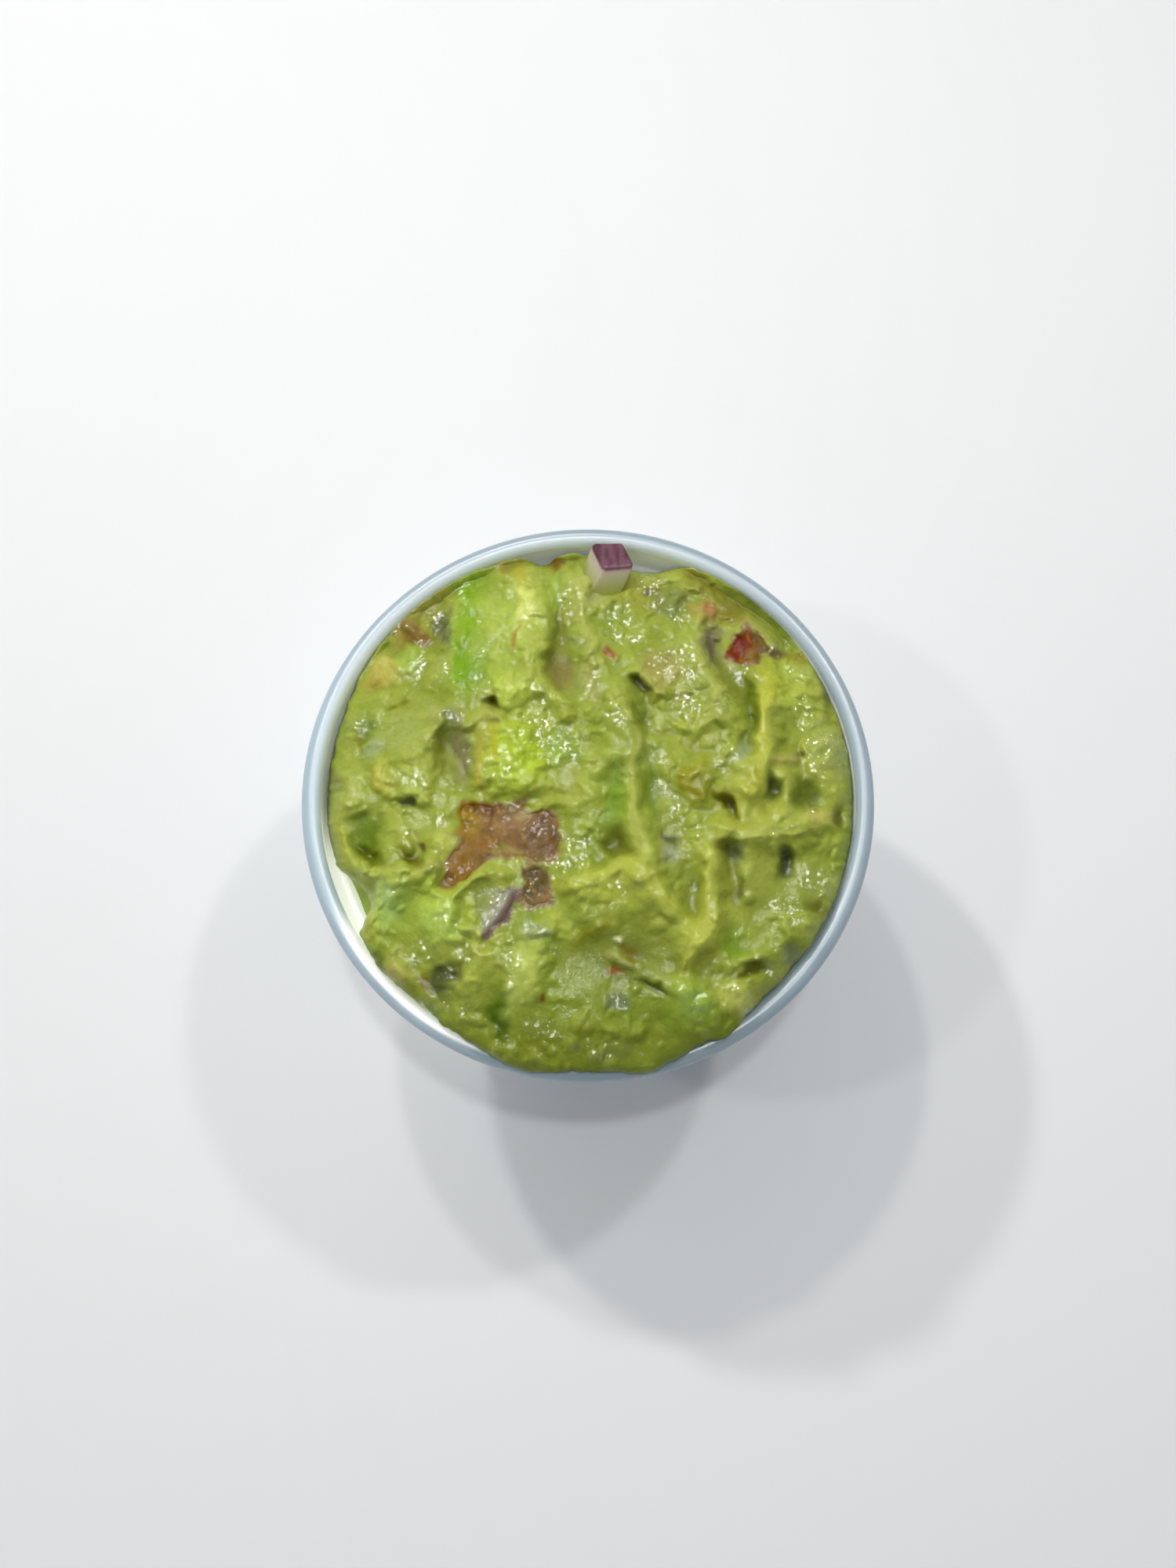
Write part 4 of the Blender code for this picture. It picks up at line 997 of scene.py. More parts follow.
    "cornerTan": ((-22.8, -24.4), (1.6, 1.6), 0, (184, 174, 92), 0.8),
    "cornerShade": ((-25.8, -22.4), (1.0, 1.4), 40, (94, 102, 48), 0.6),
    "frontGrey": ((-17, -25.6), (1.6, 2.2), -15, (88, 94, 58), 0.9),
    "frontBrown": ((-19.5, -25.8), (0.9, 1.2), 0, (116, 98, 36), 0.8),
    "frontDark": ((-10.2, -29.6), (1.3, 2.7), 0, (66, 96, 26), 0.85),
    "frontPale": ((-7.6, -25), (1.9, 4.0), -6, (200, 214, 106), 0.75),
    # Painted light on the front lobe's lit upper edge
    "lobeEdgeLight": ((3.0, -13.8), (6.5, 1.6), -8, (188, 196, 82), 0.65),
    "lobeEdgeEastLight": ((11.0, -18.2), (0.9, 3.0), 25, (176, 182, 80), 0.5),
    # Painted shade on the front lobe's slope that falls towards the front
    "oliveLobeShade": ((4, -22.5), (5.5, 4.2), 0, (134, 146, 68), 0.8),
    "oliveFold": ((0.5, -19), (2.6, 0.8), 35, (162, 156, 42), 0.5),
    "redFleck": ((3.8, -24.0), (0.9, 0.35), 10, (152, 90, 36), 0.9),
    "redGlow": ((5.2, -21.4), (1.2, 0.8), -30, (142, 112, 46), 0.5),
    # Painted shade in the crease
    "creaseShade": ((8, -26), (2.4, 0.4), -28, (68, 78, 40), 0.8),
    "greySpot": ((3.2, -27.6), (1.6, 0.7), 0, (112, 124, 86), 0.75),
    "brownFleck": ((-4.7, -28), (0.3, 0.4), 0, (120, 88, 30), 0.85),
    "lowerFront": ((0, -32.5), (9, 2.6), 0, (134, 142, 52), 0.5),
    "frontGreen": ((12.4, -28), (2.4, 2.2), 0, (146, 182, 72), 0.8),
    "frontYellow": ((17.6, -27.1), (2.0, 1.5), 0, (190, 198, 92), 0.85),
    "eastGreen": ((17.6, -21), (1.9, 1.6), 0, (112, 150, 46), 0.7),
    "southShade": ((19.4, -24.5), (2.2, 0.8), 15, (90, 92, 36), 0.8),
    "eastGreyLow": ((24.8, -22.3), (1.5, 1.0), 30, (138, 148, 108), 0.8),
    # Painted shade in the pit under the flap
    "flapPitShade": ((18.2, -9.4), (0.9, 1.6), 0, (136, 144, 102), 0.8),
    "flapShade": ((16.9, -8.6), (1.3, 1.0), 0, (110, 108, 44), 0.7),
    # Painted shade in the pit below, the deep hole and the two notches
    "pitBelowShade": ((18.4, -13.8), (0.7, 1.4), 0, (104, 110, 60), 0.7),
    "deepHoleShade": ((24.6, -10.7), (1.2, 1.5), -20, (76, 84, 64), 0.8),
    "notchEast": ((31.4, -5.2), (0.7, 1.5), 0, (102, 104, 48), 0.8),
    "notchLow": ((28, -16.4), (0.8, 0.9), 0, (110, 110, 44), 0.7),
    # Painted light on the valley crest's top
    "valleyCrest": ((15.1, -14), (0.8, 5.4), 0, (182, 188, 78), 0.65),
    "paleDot": ((4.2, -20.5), (0.35, 0.35), 0, (228, 232, 188), 0.9),
    "paleDotEast": ((27.3, 1.9), (0.35, 0.35), 0, (222, 224, 172), 0.9),
    "bean": ((4.2, -22.7), (1.2, 0.6), -10, (168, 168, 98), 0.8),
}

# Crests whose tops get painted light: its colour and strength
crestLightTints = {
    "frontLobe": ((192, 200, 86), 0.65), "valleyCrest": ((184, 190, 80), 0.6),
    "teeStem": ((190, 192, 70), 0.5), "teeArm": ((174, 182, 80), 0.55),
    "ringCrest": ((176, 184, 84), 0.55), "spine": ((168, 178, 88), 0.45),
    "spineFoot": ((176, 186, 84), 0.6), "branch": ((164, 182, 80), 0.5),
    "spineTop": ((180, 184, 98), 0.5), "backLobe": ((178, 194, 86), 0.5),
    "cornerLobe": ((178, 192, 84), 0.55), "eastLobe": ((176, 188, 84), 0.5),
    "middleRib": ((172, 184, 88), 0.4), "slabSide": ((176, 184, 92), 0.5),
    "wallRidge": ((176, 182, 76), 0.4), "frontBend": ((176, 186, 82), 0.5),
    "frontRidge": ((170, 180, 80), 0.5), "eastFold": ((188, 198, 86), 0.4),
}

# Smooth places with few beads: centre, half sizes, turn in degrees
smears = [
    ((-3.6, 17), (2.6, 6.0), 0), ((7, 3), (2.6, 7.0), 0), ((5, -20), (6.5, 5.5), 0),
    ((13.2, -14), (2.2, 5.5), 0), ((-15.4, 18), (2.2, 6.0), 0), ((3.8, -9), (2.2, 3.5), 0),
    ((26.5, -1), (3.0, 3.0), 0), ((-23.5, 5.8), (3.2, 2.8), 0), ((18.5, -6), (3.2, 1.6), 0),
    ((22.4, 9), (1.3, 5.5), 0), ((24, 22), (2.0, 7.0), 50), ((16.5, -12), (1.6, 5.0), 0),
    ((-27, -8), (2.6, 3.4), 0), ((3, 3), (2.0, 4.0), 0), ((-17, 4), (2.0, 4.5), 0),
    ((17.5, -21), (2.2, 2.0), 0),
]

# Places crowded with small wet glints: centre, half sizes
glints = [
    ((-19.3, 21.8), (1.6, 1.4)), ((-16, 25), (1.2, 1.6)), ((-24.5, 20.3), (1.6, 0.8)),
    ((-21.6, 15), (0.9, 1.7)), ((-19, 15), (0.9, 1.6)), ((-7.8, 22.4), (1.2, 1.6)),
    ((-14, 12.5), (1.4, 1.4)), ((-6.2, 11.5), (1.6, 1.4)), ((-2.5, 24), (1.6, 3.0)),
    ((4.2, 22.2), (2.0, 1.2)), ((3, 20), (1.4, 1.8)), ((6.2, 19.4), (1.2, 1.2)),
    ((11.5, 16), (2.8, 2.8)), ((8, 26.5), (1.4, 1.6)), ((9, 24), (0.8, 1.2)), ((12, 22), (1.8, 1.6)),
    ((1, 13.2), (1.0, 0.9)), ((2.6, 9.6), (1.4, 0.8)), ((12.5, 10), (1.6, 1.6)),
    ((17.6, 10.2), (1.0, 1.4)), ((19.8, 14), (1.8, 1.4)), ((24.5, 18), (1.6, 1.0)),
    ((27.3, 14), (1.4, 1.2)), ((27.6, 9.4), (1.8, 1.8)), ((28.7, 7.3), (1.6, 1.6)),
    ((29.4, 3.4), (2.0, 3.0)), ((32.3, 3), (0.9, 2.4)), ((-17.6, 8.3), (1.2, 1.0)),
    ((-28.3, 7.4), (1.6, 0.7)), ((-11, 1.5), (1.8, 2.6)), ((-7, 6.5), (2.6, 2.4)),
    ((-3.4, 4.4), (2.2, 2.8)), ((-15.6, 4), (0.6, 2.2)), ((-22.5, 0), (2.2, 1.2)),
    ((3.6, 8.4), (0.9, 1.8)), ((9, 2.8), (1.4, 1.2)), ((9.8, -1.2), (0.9, 1.2)), ((11, -4), (0.9, 1.6)),
    ((3.8, 1), (0.9, 1.4)), ((18.5, 3.4), (1.8, 1.2)), ((17, 1.6), (1.6, 1.0)), ((-1.4, -8), (1.6, 1.0)),
    ((-2.6, -11.5), (2.2, 1.8)), ((23.5, -6.6), (1.6, 0.9)), ((28, -4), (1.4, 1.0)),
    ((13.2, -6.6), (1.2, 0.9)), ((24.4, -10.6), (0.9, 1.1)), ((6.8, 12.6), (1.1, 0.5)),
    ((18.2, -8.6), (0.5, 0.9)), ((17.2, -3.4), (0.5, 0.8)), ((-23.4, 20.2), (1.0, 0.8)),
    ((-21.6, 18.2), (0.8, 0.6)), ((-18.9, 20.2), (1.0, 1.6)), ((-8.4, -2.8), (1.4, 0.6)),
    ((23.6, -0.6), (0.7, 1.0)), ((28.3, -13), (2.4, 1.8)), ((23.5, -15.8), (1.6, 0.6)),
    ((25.5, -17), (1.0, 1.8)), ((22, -24), (0.9, 1.2)), ((-22.4, -7.8), (0.9, 0.9)),
    ((-18.4, -11), (1.8, 0.8)), ((-19, -5), (1.2, 0.9)), ((-23.8, -14.4), (1.0, 0.9)),
    ((-17.6, -17.9), (2.0, 1.4)), ((-15.4, -19.2), (1.2, 0.8)), ((-19.8, -21.4), (1.8, 1.4)),
    ((-15, -22), (2.2, 1.2)), ((-16.6, -24.8), (0.8, 0.9)), ((-18.5, -28.4), (1.6, 1.0)),
    ((-14.2, -28.6), (1.0, 1.4)), ((-9.2, -24), (1.0, 3.4)), ((-6.3, -19.3), (0.9, 0.9)),
    ((5, -13.6), (1.8, 1.0)), ((1.2, -13.2), (0.9, 0.6)), ((-4.4, -21.7), (1.0, 0.6)),
    ((-5, -31), (2.4, 1.0)), ((-1, -33), (1.2, 0.8)), ((4, -27.6), (1.8, 0.6)), ((3, -33.6), (3.0, 1.4)),
    ((8.6, -26.8), (0.6, 0.4)), ((12.6, -28), (1.6, 2.0)), ((13.2, -13.4), (0.8, 0.8)),
    ((17.8, -27.2), (1.6, 1.0)), ((19.5, -28.6), (1.2, 0.7)),
]

looseMash = {
    "least": 0.35,
    "smeared": 0.85,
    "frontLess": 0.4,
    "frontFrom": 17,
    "frontFade": 8,
}

beads = {
    "count": 2300,
    "least": 0.45,
    "most": 1.3,
    "height": 0.42,  # share of its radius
    "dome": 1.3,
    "longer": (0.8, 1.5),
    "spread": 36,
    "middle": -1,
    "seed": 91,
}


def toSpace(u, v, height):
    # Where a drawn place lies at a height
    eye = heap["leanPoint"]
    share = (eye[2] - height) / (eye[2] - heap["drawnAt"])
    return eye[0] + (u - eye[0]) * share, eye[1] + (v - eye[1]) * share


def toDrawing(x, y, height):
    eye = heap["leanPoint"]
    share = (eye[2] - heap["drawnAt"]) / (eye[2] - height)
    return eye[0] + (x - eye[0]) * share, eye[1] + (y - eye[1]) * share


def smoothPath(points, steps=4):
    # A soft curve through the points
    p = np.array(points, float)
    ends = np.vstack([2 * p[0] - p[1], p, 2 * p[-1] - p[-2]])
    path = []
    for a, b, c, d in zip(ends, ends[1:], ends[2:], ends[3:]):
        for t in np.arange(steps) / steps:
            bend, turn = 2 * a - 5 * b + 4 * c - d, 3 * b - a - 3 * c + d
            path.append(0.5 * (2 * b + (c - a) * t + bend * t**2 + turn * t**3))
    return np.array(path + [p[-1]])


def crest(u, v, points, height, left, right, flat):
    # A torn ridge: flat for a little way beside its path, then falling off over its own reach on each side
    form = crestForm
    path = smoothPath(points)
    left, right = left + form["spread"], right + form["spread"]
    out = np.zeros(u.shape)
    far = form["end"] * max(left, right)
    low, high = path.min(0) - far, path.max(0) + far
    near = (u > low[0]) & (u < high[0]) & (v > low[1]) & (v < high[1])
    start, step = path[:-1, None], np.diff(path, axis=0)[:, None]
    length = np.hypot(step[..., 0], step[..., 1])
    toU, toV = u[near] - start[..., 0], v[near] - start[..., 1]
    t = np.clip((toU * step[..., 0] + toV * step[..., 1]) / length**2, 0, 1)
    offU, offV = toU - t * step[..., 0], toV - t * step[..., 1]
    distance = np.hypot(offU, offV)
    sine = (step[..., 0] * offV - step[..., 1] * offU) / (length * (distance + 1e-6))
    nearest = distance.min(0)
    weight = np.exp((nearest - distance) / form["sideBlend"])
    weight /= weight.sum(0)
    side = (weight * sine).sum(0)
    along = (weight * (np.arange(len(step))[:, None] + t)).sum(0) / len(step)
    body = smoothStep(np.minimum(along, 1 - along) / form["tipShare"])
    reach = right + (left - right) * (0.5 + 0.5 * np.sin(side * np.pi / 2))
    narrow = min(left, right)
    reach = narrow + (reach - narrow) * (form["tipReach"] + (1 - form["tipReach"]) * body)
    q = (np.hypot(np.maximum(nearest - flat, 0), form["round"]) - form["round"]) / reach
    fall = np.exp(-form["fall"] * q) * (1 - form["kneeCut"] * np.clip(q, 0, 1))
    fall = fall * (form["tipHeight"] + (1 - form["tipHeight"]) * body)
    out[near] = height * fall * np.clip((form["end"] - q) / form["endFade"], 0, 1)
    return out


def spot(u, v, centre, radii, turn=0):
    # A soft-edged oval, 1 in the middle
    c, s = math.cos(math.radians(turn)), math.sin(math.radians(turn))
    a, b = u - centre[0], v - centre[1]
    far = ((a * c + b * s) / radii[0]) ** 2 + ((b * c - a * s) / radii[1]) ** 2
    return np.exp(-heap["spotFall"] * far ** heap["spotEdge"])


def wander(u, v, amount=0.5):
    # The places pushed about a little, so that no form has a drawn outline
    driftU = noise(u, v, "driftU") + noise(u, v, "driftFineU")
    driftV = noise(u, v, "driftV") + noise(u, v, "driftFineV")
    return u + amount * driftU, v + amount * driftV


def looseness(u, v):
    # 1 where the mash is lumpy, near 0 where it is smeared smooth
    m = looseMash
    loose = m["least"] + (1 - m["least"]) * smoothStep(0.6 + noise(u, v, "looseness"))
    loose = loose * (1 - m["frontLess"] * smoothStep((-v - m["frontFrom"]) / m["frontFade"]))
    for centre, radii, turn in smears:
        loose = loose * (1 - m["smeared"] * spot(u, v, centre, radii, turn))
    return loose


def shineOf(u, v):
    # 1 in the clusters of glints
    shine = np.zeros(u.shape)
    wu, wv = wander(u, v, 0.6)
    for centre, radii in glints:
        shine = np.maximum(shine, np.clip(heap["glintFull"] * spot(wu, wv, centre, radii), 0, 1))
    return shine


def beadField(u, v):
    # Small rounded lumps, crowded where the mash is loose
    count = beads["count"]
    draw = np.random.default_rng(beads["seed"])
    angle, away = draw.uniform(0, math.tau, count), beads["spread"] * np.sqrt(draw.uniform(0, 1, count))
    centresU, centresV = away * np.cos(angle), away * np.sin(angle) + beads["middle"]
    radii = beads["least"] + (beads["most"] - beads["least"]) * draw.uniform(0, 1, count) ** 2
    longer, turns = draw.uniform(*beads["longer"], count), draw.uniform(0, math.pi, count)
    keep = looseness(centresU, centresV) > draw.uniform(0.1, 0.9, count)
    field = np.zeros(u.shape)
    for k in np.nonzero(keep)[0]:
        a, b = u - centresU[k], v - centresV[k]
        near = (np.abs(a) < 2 * radii[k]) & (np.abs(b) < 2 * radii[k])
        c, s = math.cos(turns[k]), math.sin(turns[k])
        p, q = a[near] * c + b[near] * s, b[near] * c - a[near] * s
        far = (p / longer[k]) ** 2 + (q * longer[k]) ** 2
        dome = np.clip(1 - far / radii[k] ** 2, 0, 1) ** beads["dome"]
        field[near] = np.maximum(field[near], beads["height"] * radii[k] * dome)
    return field


def relief(u, v):
    # Height of the heap over the rim, at drawn places
    wu, wv = wander(u, v)
    away = np.hypot(u - heap["crown"][0], v - heap["crown"][1])
    height = heap["crownHeight"] - heap["crownFall"] * (away / heap["crownReach"]) ** 3
    for name, (points, rise, left, right) in crests.items():
        flat = ribbons.get(name, crestForm["flat"])
        height = height + crest(wu, wv, points, rise, left, right, flat)
    for centre, radii, turn, depth in hollows.values():
        height = height - heap["hollowShare"] * depth * spot(wu, wv, centre, radii, turn)
    for centre, radii, turn, rise in lumps.values():
        height = height + rise * spot(wu, wv, centre, radii, turn)
    return height + (noise(u, v, "swell") + noise(u, v, "swellFine")) + beadField(wu, wv)


def edgeOf(degrees):
    # Radius and height of the heap's edge, eased between the rows of its table
    table = np.array(heapEdge, float)
    around = np.concatenate([table[:, 0] - 360, table[:, 0], table[:, 0] + 360])
    fine = np.arange(-180, 541, 1.0)
    kernel = np.exp(-((np.arange(-6, 7) / heap["edgeEase"]) ** 2))
    found = []
    for column in (1, 2):
        line = np.interp(fine, around, np.tile(table[:, column], 3))
        line = np.convolve(line, kernel / kernel.sum(), "same")
        found.append(np.interp(degrees % 360, fine, line))
    ragged = noise(degrees / 3, 0 * degrees, "edge") + noise(degrees, 0 * degrees, "edgeFine")
    return found[0] + ragged + heap["edgeOut"], found[1]


def blurred(field, cells):
    # The field with everything finer than a number of cells smoothed away
    kernel = np.exp(-((np.arange(-3 * cells, 3 * cells + 1) / cells) ** 2) / 2)
    kernel /= kernel.sum()
    for axis in (0, 1):
        padded = np.pad(field, [(3 * cells, 3 * cells) if k == axis else (0, 0) for k in (0, 1)], "edge")
        field = np.apply_along_axis(np.convolve, axis, padded, kernel, "valid")
    return field


def coloured(u, v, colour, zones):
    # Lays each zone's colour over what is there, whether its own colour, painted shade, painted light
    for centre, radii, turn, laidColour, strength in zones.values():
        mask = np.clip(heap["tintFull"] * spot(u, v, centre, radii, turn), 0, 1)
        colour = blend(colour, laidColour, strength * mask)
    return colour


def cleared(colour):
    # Takes off what the wet film's sheen adds
    return np.maximum(0.98 * colour - heapColours["sheen"], 0.003)


def heapTint(u, v, sunk):
    # Colour of the heap: places of their own, painted shade in hollows and at the front, painted light on
    # crests
    c = heapColours
    colour = blend(srgb(*c["olive"]), c["yellow"], 0.5 + noise(u, v, "ripeness"))
    colour = blend(colour, c["patch"], c["patchShare"] * smoothStep(0.5 + noise(u, v, "patches")))
    # Darker olive towards the front: painted shade
    colour = blend(colour, c["front"], c["frontShare"] * smoothStep((-v - c["frontFrom"]) / c["frontFade"]))
    colour = coloured(*wander(u, v, 0.9), colour, tints)
    wu, wv = wander(u, v)
    # Painted light on the crest tops
    for name, (laidColour, strength) in crestLightTints.items():
        mask = np.clip(crest(wu, wv, crests[name][0], height=1.3, left=0.2, right=0.2, flat=0.3), 0, 1)
        colour = blend(colour, laidColour, strength * mask)
    # Painted shade in the hollows
    colour = colour * (1 - c["shade"] * smoothStep(0.2 + sunk / 2.4)[..., None])
    # Paler yellow on raised places: painted light
    return cleared(blend(colour, c["top"], c["crestLightShare"] * smoothStep(-sunk / 1.3)))


def outsideOf(piece, u, v):
    # Distance out from a diced piece's outline, drawn on the heap
    a, b = u - piece["centre"][0], v - piece["centre"][1]
    return np.hypot(a, b) - outlineRadius(piece, np.degrees(np.arctan2(b, a)))


def stained(u, v, colour):
    # Juice from the diced pieces in the mash round them
    for piece in diced.values():
        out = outsideOf(piece, u, v)
        near = out < dicedForm["stainReach"]
        nearU, nearV = u[near], v[near]
        ragged = noise(nearU, nearV, "stain") + noise(nearU, nearV, "stainFine")
        beyond = out[near] - dicedForm["stainOut"] + ragged
        amount = smoothStep(0.5 - beyond / dicedForm["stainFade"])[..., None]
        colour[near] += (piece["paint"](nearU, nearV) - colour[near]) * amount
    return colour


def discGrid(cells):
    # A square grid bent into a disc: each point's share of the radius and its angle
    line = np.linspace(-1, 1, cells + 1)
    a, b = np.meshgrid(line, line, indexing="ij")
    x, y = a * np.sqrt(1 - b**2 / 2), b * np.sqrt(1 - a**2 / 2)
    return np.hypot(x, y), np.degrees(np.arctan2(y, x)) % 360


def heapSides(edge):
    # Rings from the heap's edge down to the cup's floor. Lower down they lie a little inside the plastic.
    radius = np.hypot(edge[:, 0], edge[:, 1])
    out = edge[:, :2] / radius[:, None]
    height = edge[:, 2]
    laps = height > heap["lapFrom"]
    levels = [
        np.where(laps, 0.12, height - 0.3),  # just over the rim where it laps
        np.where(laps, -0.5, height - 0.6),
        np.minimum(-4.2, height - 1.6),
        np.minimum(-7.0, height - 3.4),
        np.full_like(height, -20.0),  # half-way down the wall
        np.full_like(height, cupFloor + cup["corner"]),
        np.full_like(height, cupFloor - 0.1),
    ]
    rings = []
    for row, level in enumerate(levels):
        reach = wallRadius(level) + heap["intoWall" if row > 2 else "offWall"]
        if row == 0:
            reach = np.where(laps, radius - 0.1, np.minimum(reach, radius + 0.1))
        if row < 3:
            far = smoothStep((wallRadius(height) - radius - 0.3) / 0.9)
            reach = reach + (np.minimum(reach, radius) - reach) * far
        if row == 2:
            reach = np.minimum(reach, cup["ledgeRadius"] - 0.1)
        if row == len(levels) - 1:
            reach = np.full_like(radius, cup["floorRadius"] - cup["corner"])
        rings.append(np.column_stack([out * reach[:, None], level]))
    return rings


def buildHeap():
    cells = heap["cells"]
    share, degrees = discGrid(cells)
    radius, edgeHeight = edgeOf(degrees)
    radians = np.radians(degrees)
    edgeU, edgeV = toDrawing(radius * np.cos(radians), radius * np.sin(radians), edgeHeight)
    u, v = share * edgeU, share * edgeV
    rise = relief(u, v)
    for piece in diced.values():
        rise = seated(piece, u, v, rise)
    inward = np.clip((1 - share) * radius / heap["edgeRound"], 0, 1)
    shoulder = np.sqrt(1 - (1 - inward) ** 2)
    height = edgeHeight + np.maximum(rise - edgeHeight, -inward) * shoulder
    x, y = toSpace(u, v, height)
    most = np.where(height > 0.25, cup["rimRadius"] - 0.1, wallRadius(height) - 0.05)
    pull = np.minimum(1, most / np.maximum(np.hypot(x, y), 1e-6))
    x, y = x * pull, y * pull
    near, far = heap["hollowCells"]
    sunk = blurred(height, near) - height + 0.5 * (blurred(height, far) - height)
    tint = stained(u, v, heapTint(u, v, sunk))
    extra = {
        # Painted shade in the hollows, which the mottle group reads
        "hollowShade": smoothStep(sunk / heap["hollowShadeDepth"]),
        "loose": looseness(u, v) * smoothStep((1 - share) * radius / heap["looseFrom"]),
        "shine": shineOf(u, v),
    }

    index = np.arange((cells + 1) ** 2).reshape(cells + 1, cells + 1)
    points = [np.column_stack([x.ravel(), y.ravel(), height.ravel()])]
    quads = np.stack([index[:-1, :-1], index[1:, :-1], index[1:, 1:], index[:-1, 1:]], -1)
    faces = quads.reshape(-1, 4).tolist()
    border = np.concatenate([index[:-1, 0], index[-1, :-1], index[:0:-1, -1], index[0, :0:-1]])
    above = border
    for ring in heapSides(points[0][border]):
        below = sum(len(p) for p in points) + np.arange(len(border))
        points.append(ring)
        faces += np.stack([above, below, np.roll(below, -1), np.roll(above, -1)], -1).tolist()
        above = below
    faces.append(above.tolist()[::-1])
    places = np.vstack(points)
    more = len(places) - index.size
    tint = np.vstack([tint.reshape(-1, 3), np.tile(srgb(*heapColours["side"]), (more, 1))])
    extra = {key: np.append(field.ravel(), np.zeros(more)) for key, field in extra.items()}
    return meshOf("guacamoleHeap", places, faces, tint, extra)


# Diced tomato and onion: outline drawn on the heap, and how deep a piece goes

diced = {
    "tomatoLarge": {
        "outline": [
            (-15.8, -3.3), (-12.5, -3.2), (-9, -3.9), (-6.5, -4.2), (-4.3, -3.9), (-3.8, -5.5),
            (-3.7, -8.2), (-4.6, -9.9), (-6.0, -10.9), (-7.8, -9.9), (-11.8, -9.6), (-13.2, -10.5),
            (-14.6, -12.6), (-16.6, -13.5), (-17.9, -12.6), (-17.1, -10.3), (-15.9, -8.3),
        ],
        "centre": (-11.0, -6.5),
        "node": "tomato_large",
        "ragged": 0.3,
        "grown": 0.35,
        "depth": 5.0,
        "segments": 220,
        "rings": 34,
    },
    "tomatoLower": {
        "outline": [
            (-7.8, -11.9), (-6.2, -11.2), (-5.0, -11.6), (-4.6, -13.4), (-4.7, -15.4), (-6.5, -16.4),
            (-8.2, -15.2), (-7.6, -13.6),
        ],
        "centre": (-6.4, -13.9),
        "node": "tomato_lower",
        "ragged": 0.3,
        "grown": 0.35,
        "depth": 4.0,
        "segments": 110,
        "rings": 16,
    },
    "tomatoWedge": {
        "outline": [
            (18, 16.7), (19.2, 18.4), (20.8, 20.7), (22.1, 19.5), (23.3, 17.5), (21.6, 16.1), (20, 15.8),
        ],
        "centre": (20.8, 17.9),
        "node": "tomato_wedge",
        "wetness": 0.35,
        "ragged": 0.15,
        "grown": 0.4,
        "depth": 4.0,
        "segments": 120,
        "rings": 18,
    },
    "onionWedge": {
        "outline": [
            (-13.8, -14.8), (-12.4, -14.2), (-11, -14.1), (-9.4, -13.9), (-8.6, -14.3), (-9.3, -16.0),
            (-10.3, -17.6), (-11.4, -19), (-12.6, -20.2), (-12.9, -19), (-13, -17.8), (-13.5, -16.2),
        ],
        "centre": (-11.3, -16.2),
        "node": "onion_wedge",
        "ragged": 0.25,
        "grown": 0.3,
        "depth": 3.5,
        "segments": 120,
        "rings": 18,
    },
}

dicedForm = {
    "edgeDrop": 0.3,
    "edgeWidth": 0.6,
    "ringCrowding": 1.3,  # rings lie closer together towards the edge
    "sideDrops": (1.4, 2.2),
    "dryEdge": 0.8,
    # Distance out from a piece's outline, and height of the mash over the piece there
    "lapOut": [-2.6, -1.7, -1.2, 0, 0.6],
    "lapOver": [-1.8, -0.9, -0.16, 0.14, 0.2],
    "bank": 2.2,  # how far out the mash rises to meet the piece
    "stainReach": 1.5,
    "stainOut": 0.1,
    "stainFade": 0.9,
}


def outlineRadius(piece, degrees):
    # Distance from the piece's centre to its outline at each angle, with its corners softened
    corners = np.array(piece["outline"], float)
    sides = np.roll(corners, -1, axis=0) - corners
    along = np.linspace(0, 1, 12, endpoint=False)[None, :, None]
    line = (corners[:, None] + sides[:, None] * along).reshape(-1, 2) - piece["centre"]
    angles = np.degrees(np.arctan2(line[:, 1], line[:, 0])) % 360
    order = np.argsort(angles)
    around = np.concatenate([angles[order] - 360, angles[order], angles[order] + 360])
    fine = np.arange(0, 360, 1.0)
    reach = np.interp(fine, around, np.tile(np.hypot(*line.T)[order], 3))
    reach = sum(np.roll(reach, k) for k in range(-3, 4)) / 7
    ways = np.radians(fine)
    ragged = noise(reach * np.cos(ways), reach * np.sin(ways), "dicedOutline")
    reach = reach + piece["ragged"] * ragged + piece["grown"]
    return np.interp(degrees % 360, np.append(fine, 360), np.append(reach, reach[0]))


def pieceTop(piece):
    low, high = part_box(piece["node"])
    return high.z / mm - cupHeight


def pieceSkin(piece, u, v, inset):
    # Height of a piece's cut face, rounded down towards its edge
    edge = 1 - np.clip(inset / dicedForm["edgeWidth"], 0, 1)
    return pieceTop(piece) + piece["shape"](u, v) - dicedForm["edgeDrop"] * edge**2


def seated(piece, u, v, rise):
    # The heap meets a diced piece flush, thins out over its edge and runs on under it
    out = outsideOf(piece, u, v)
    over = np.interp(out, dicedForm["lapOut"], dicedForm["lapOver"]) + noise(u, v, "lap")
    bank = pieceTop(piece) + piece["shape"](u, v) + over
    return rise + (bank - rise) * smoothStep(1 - out / dicedForm["bank"])


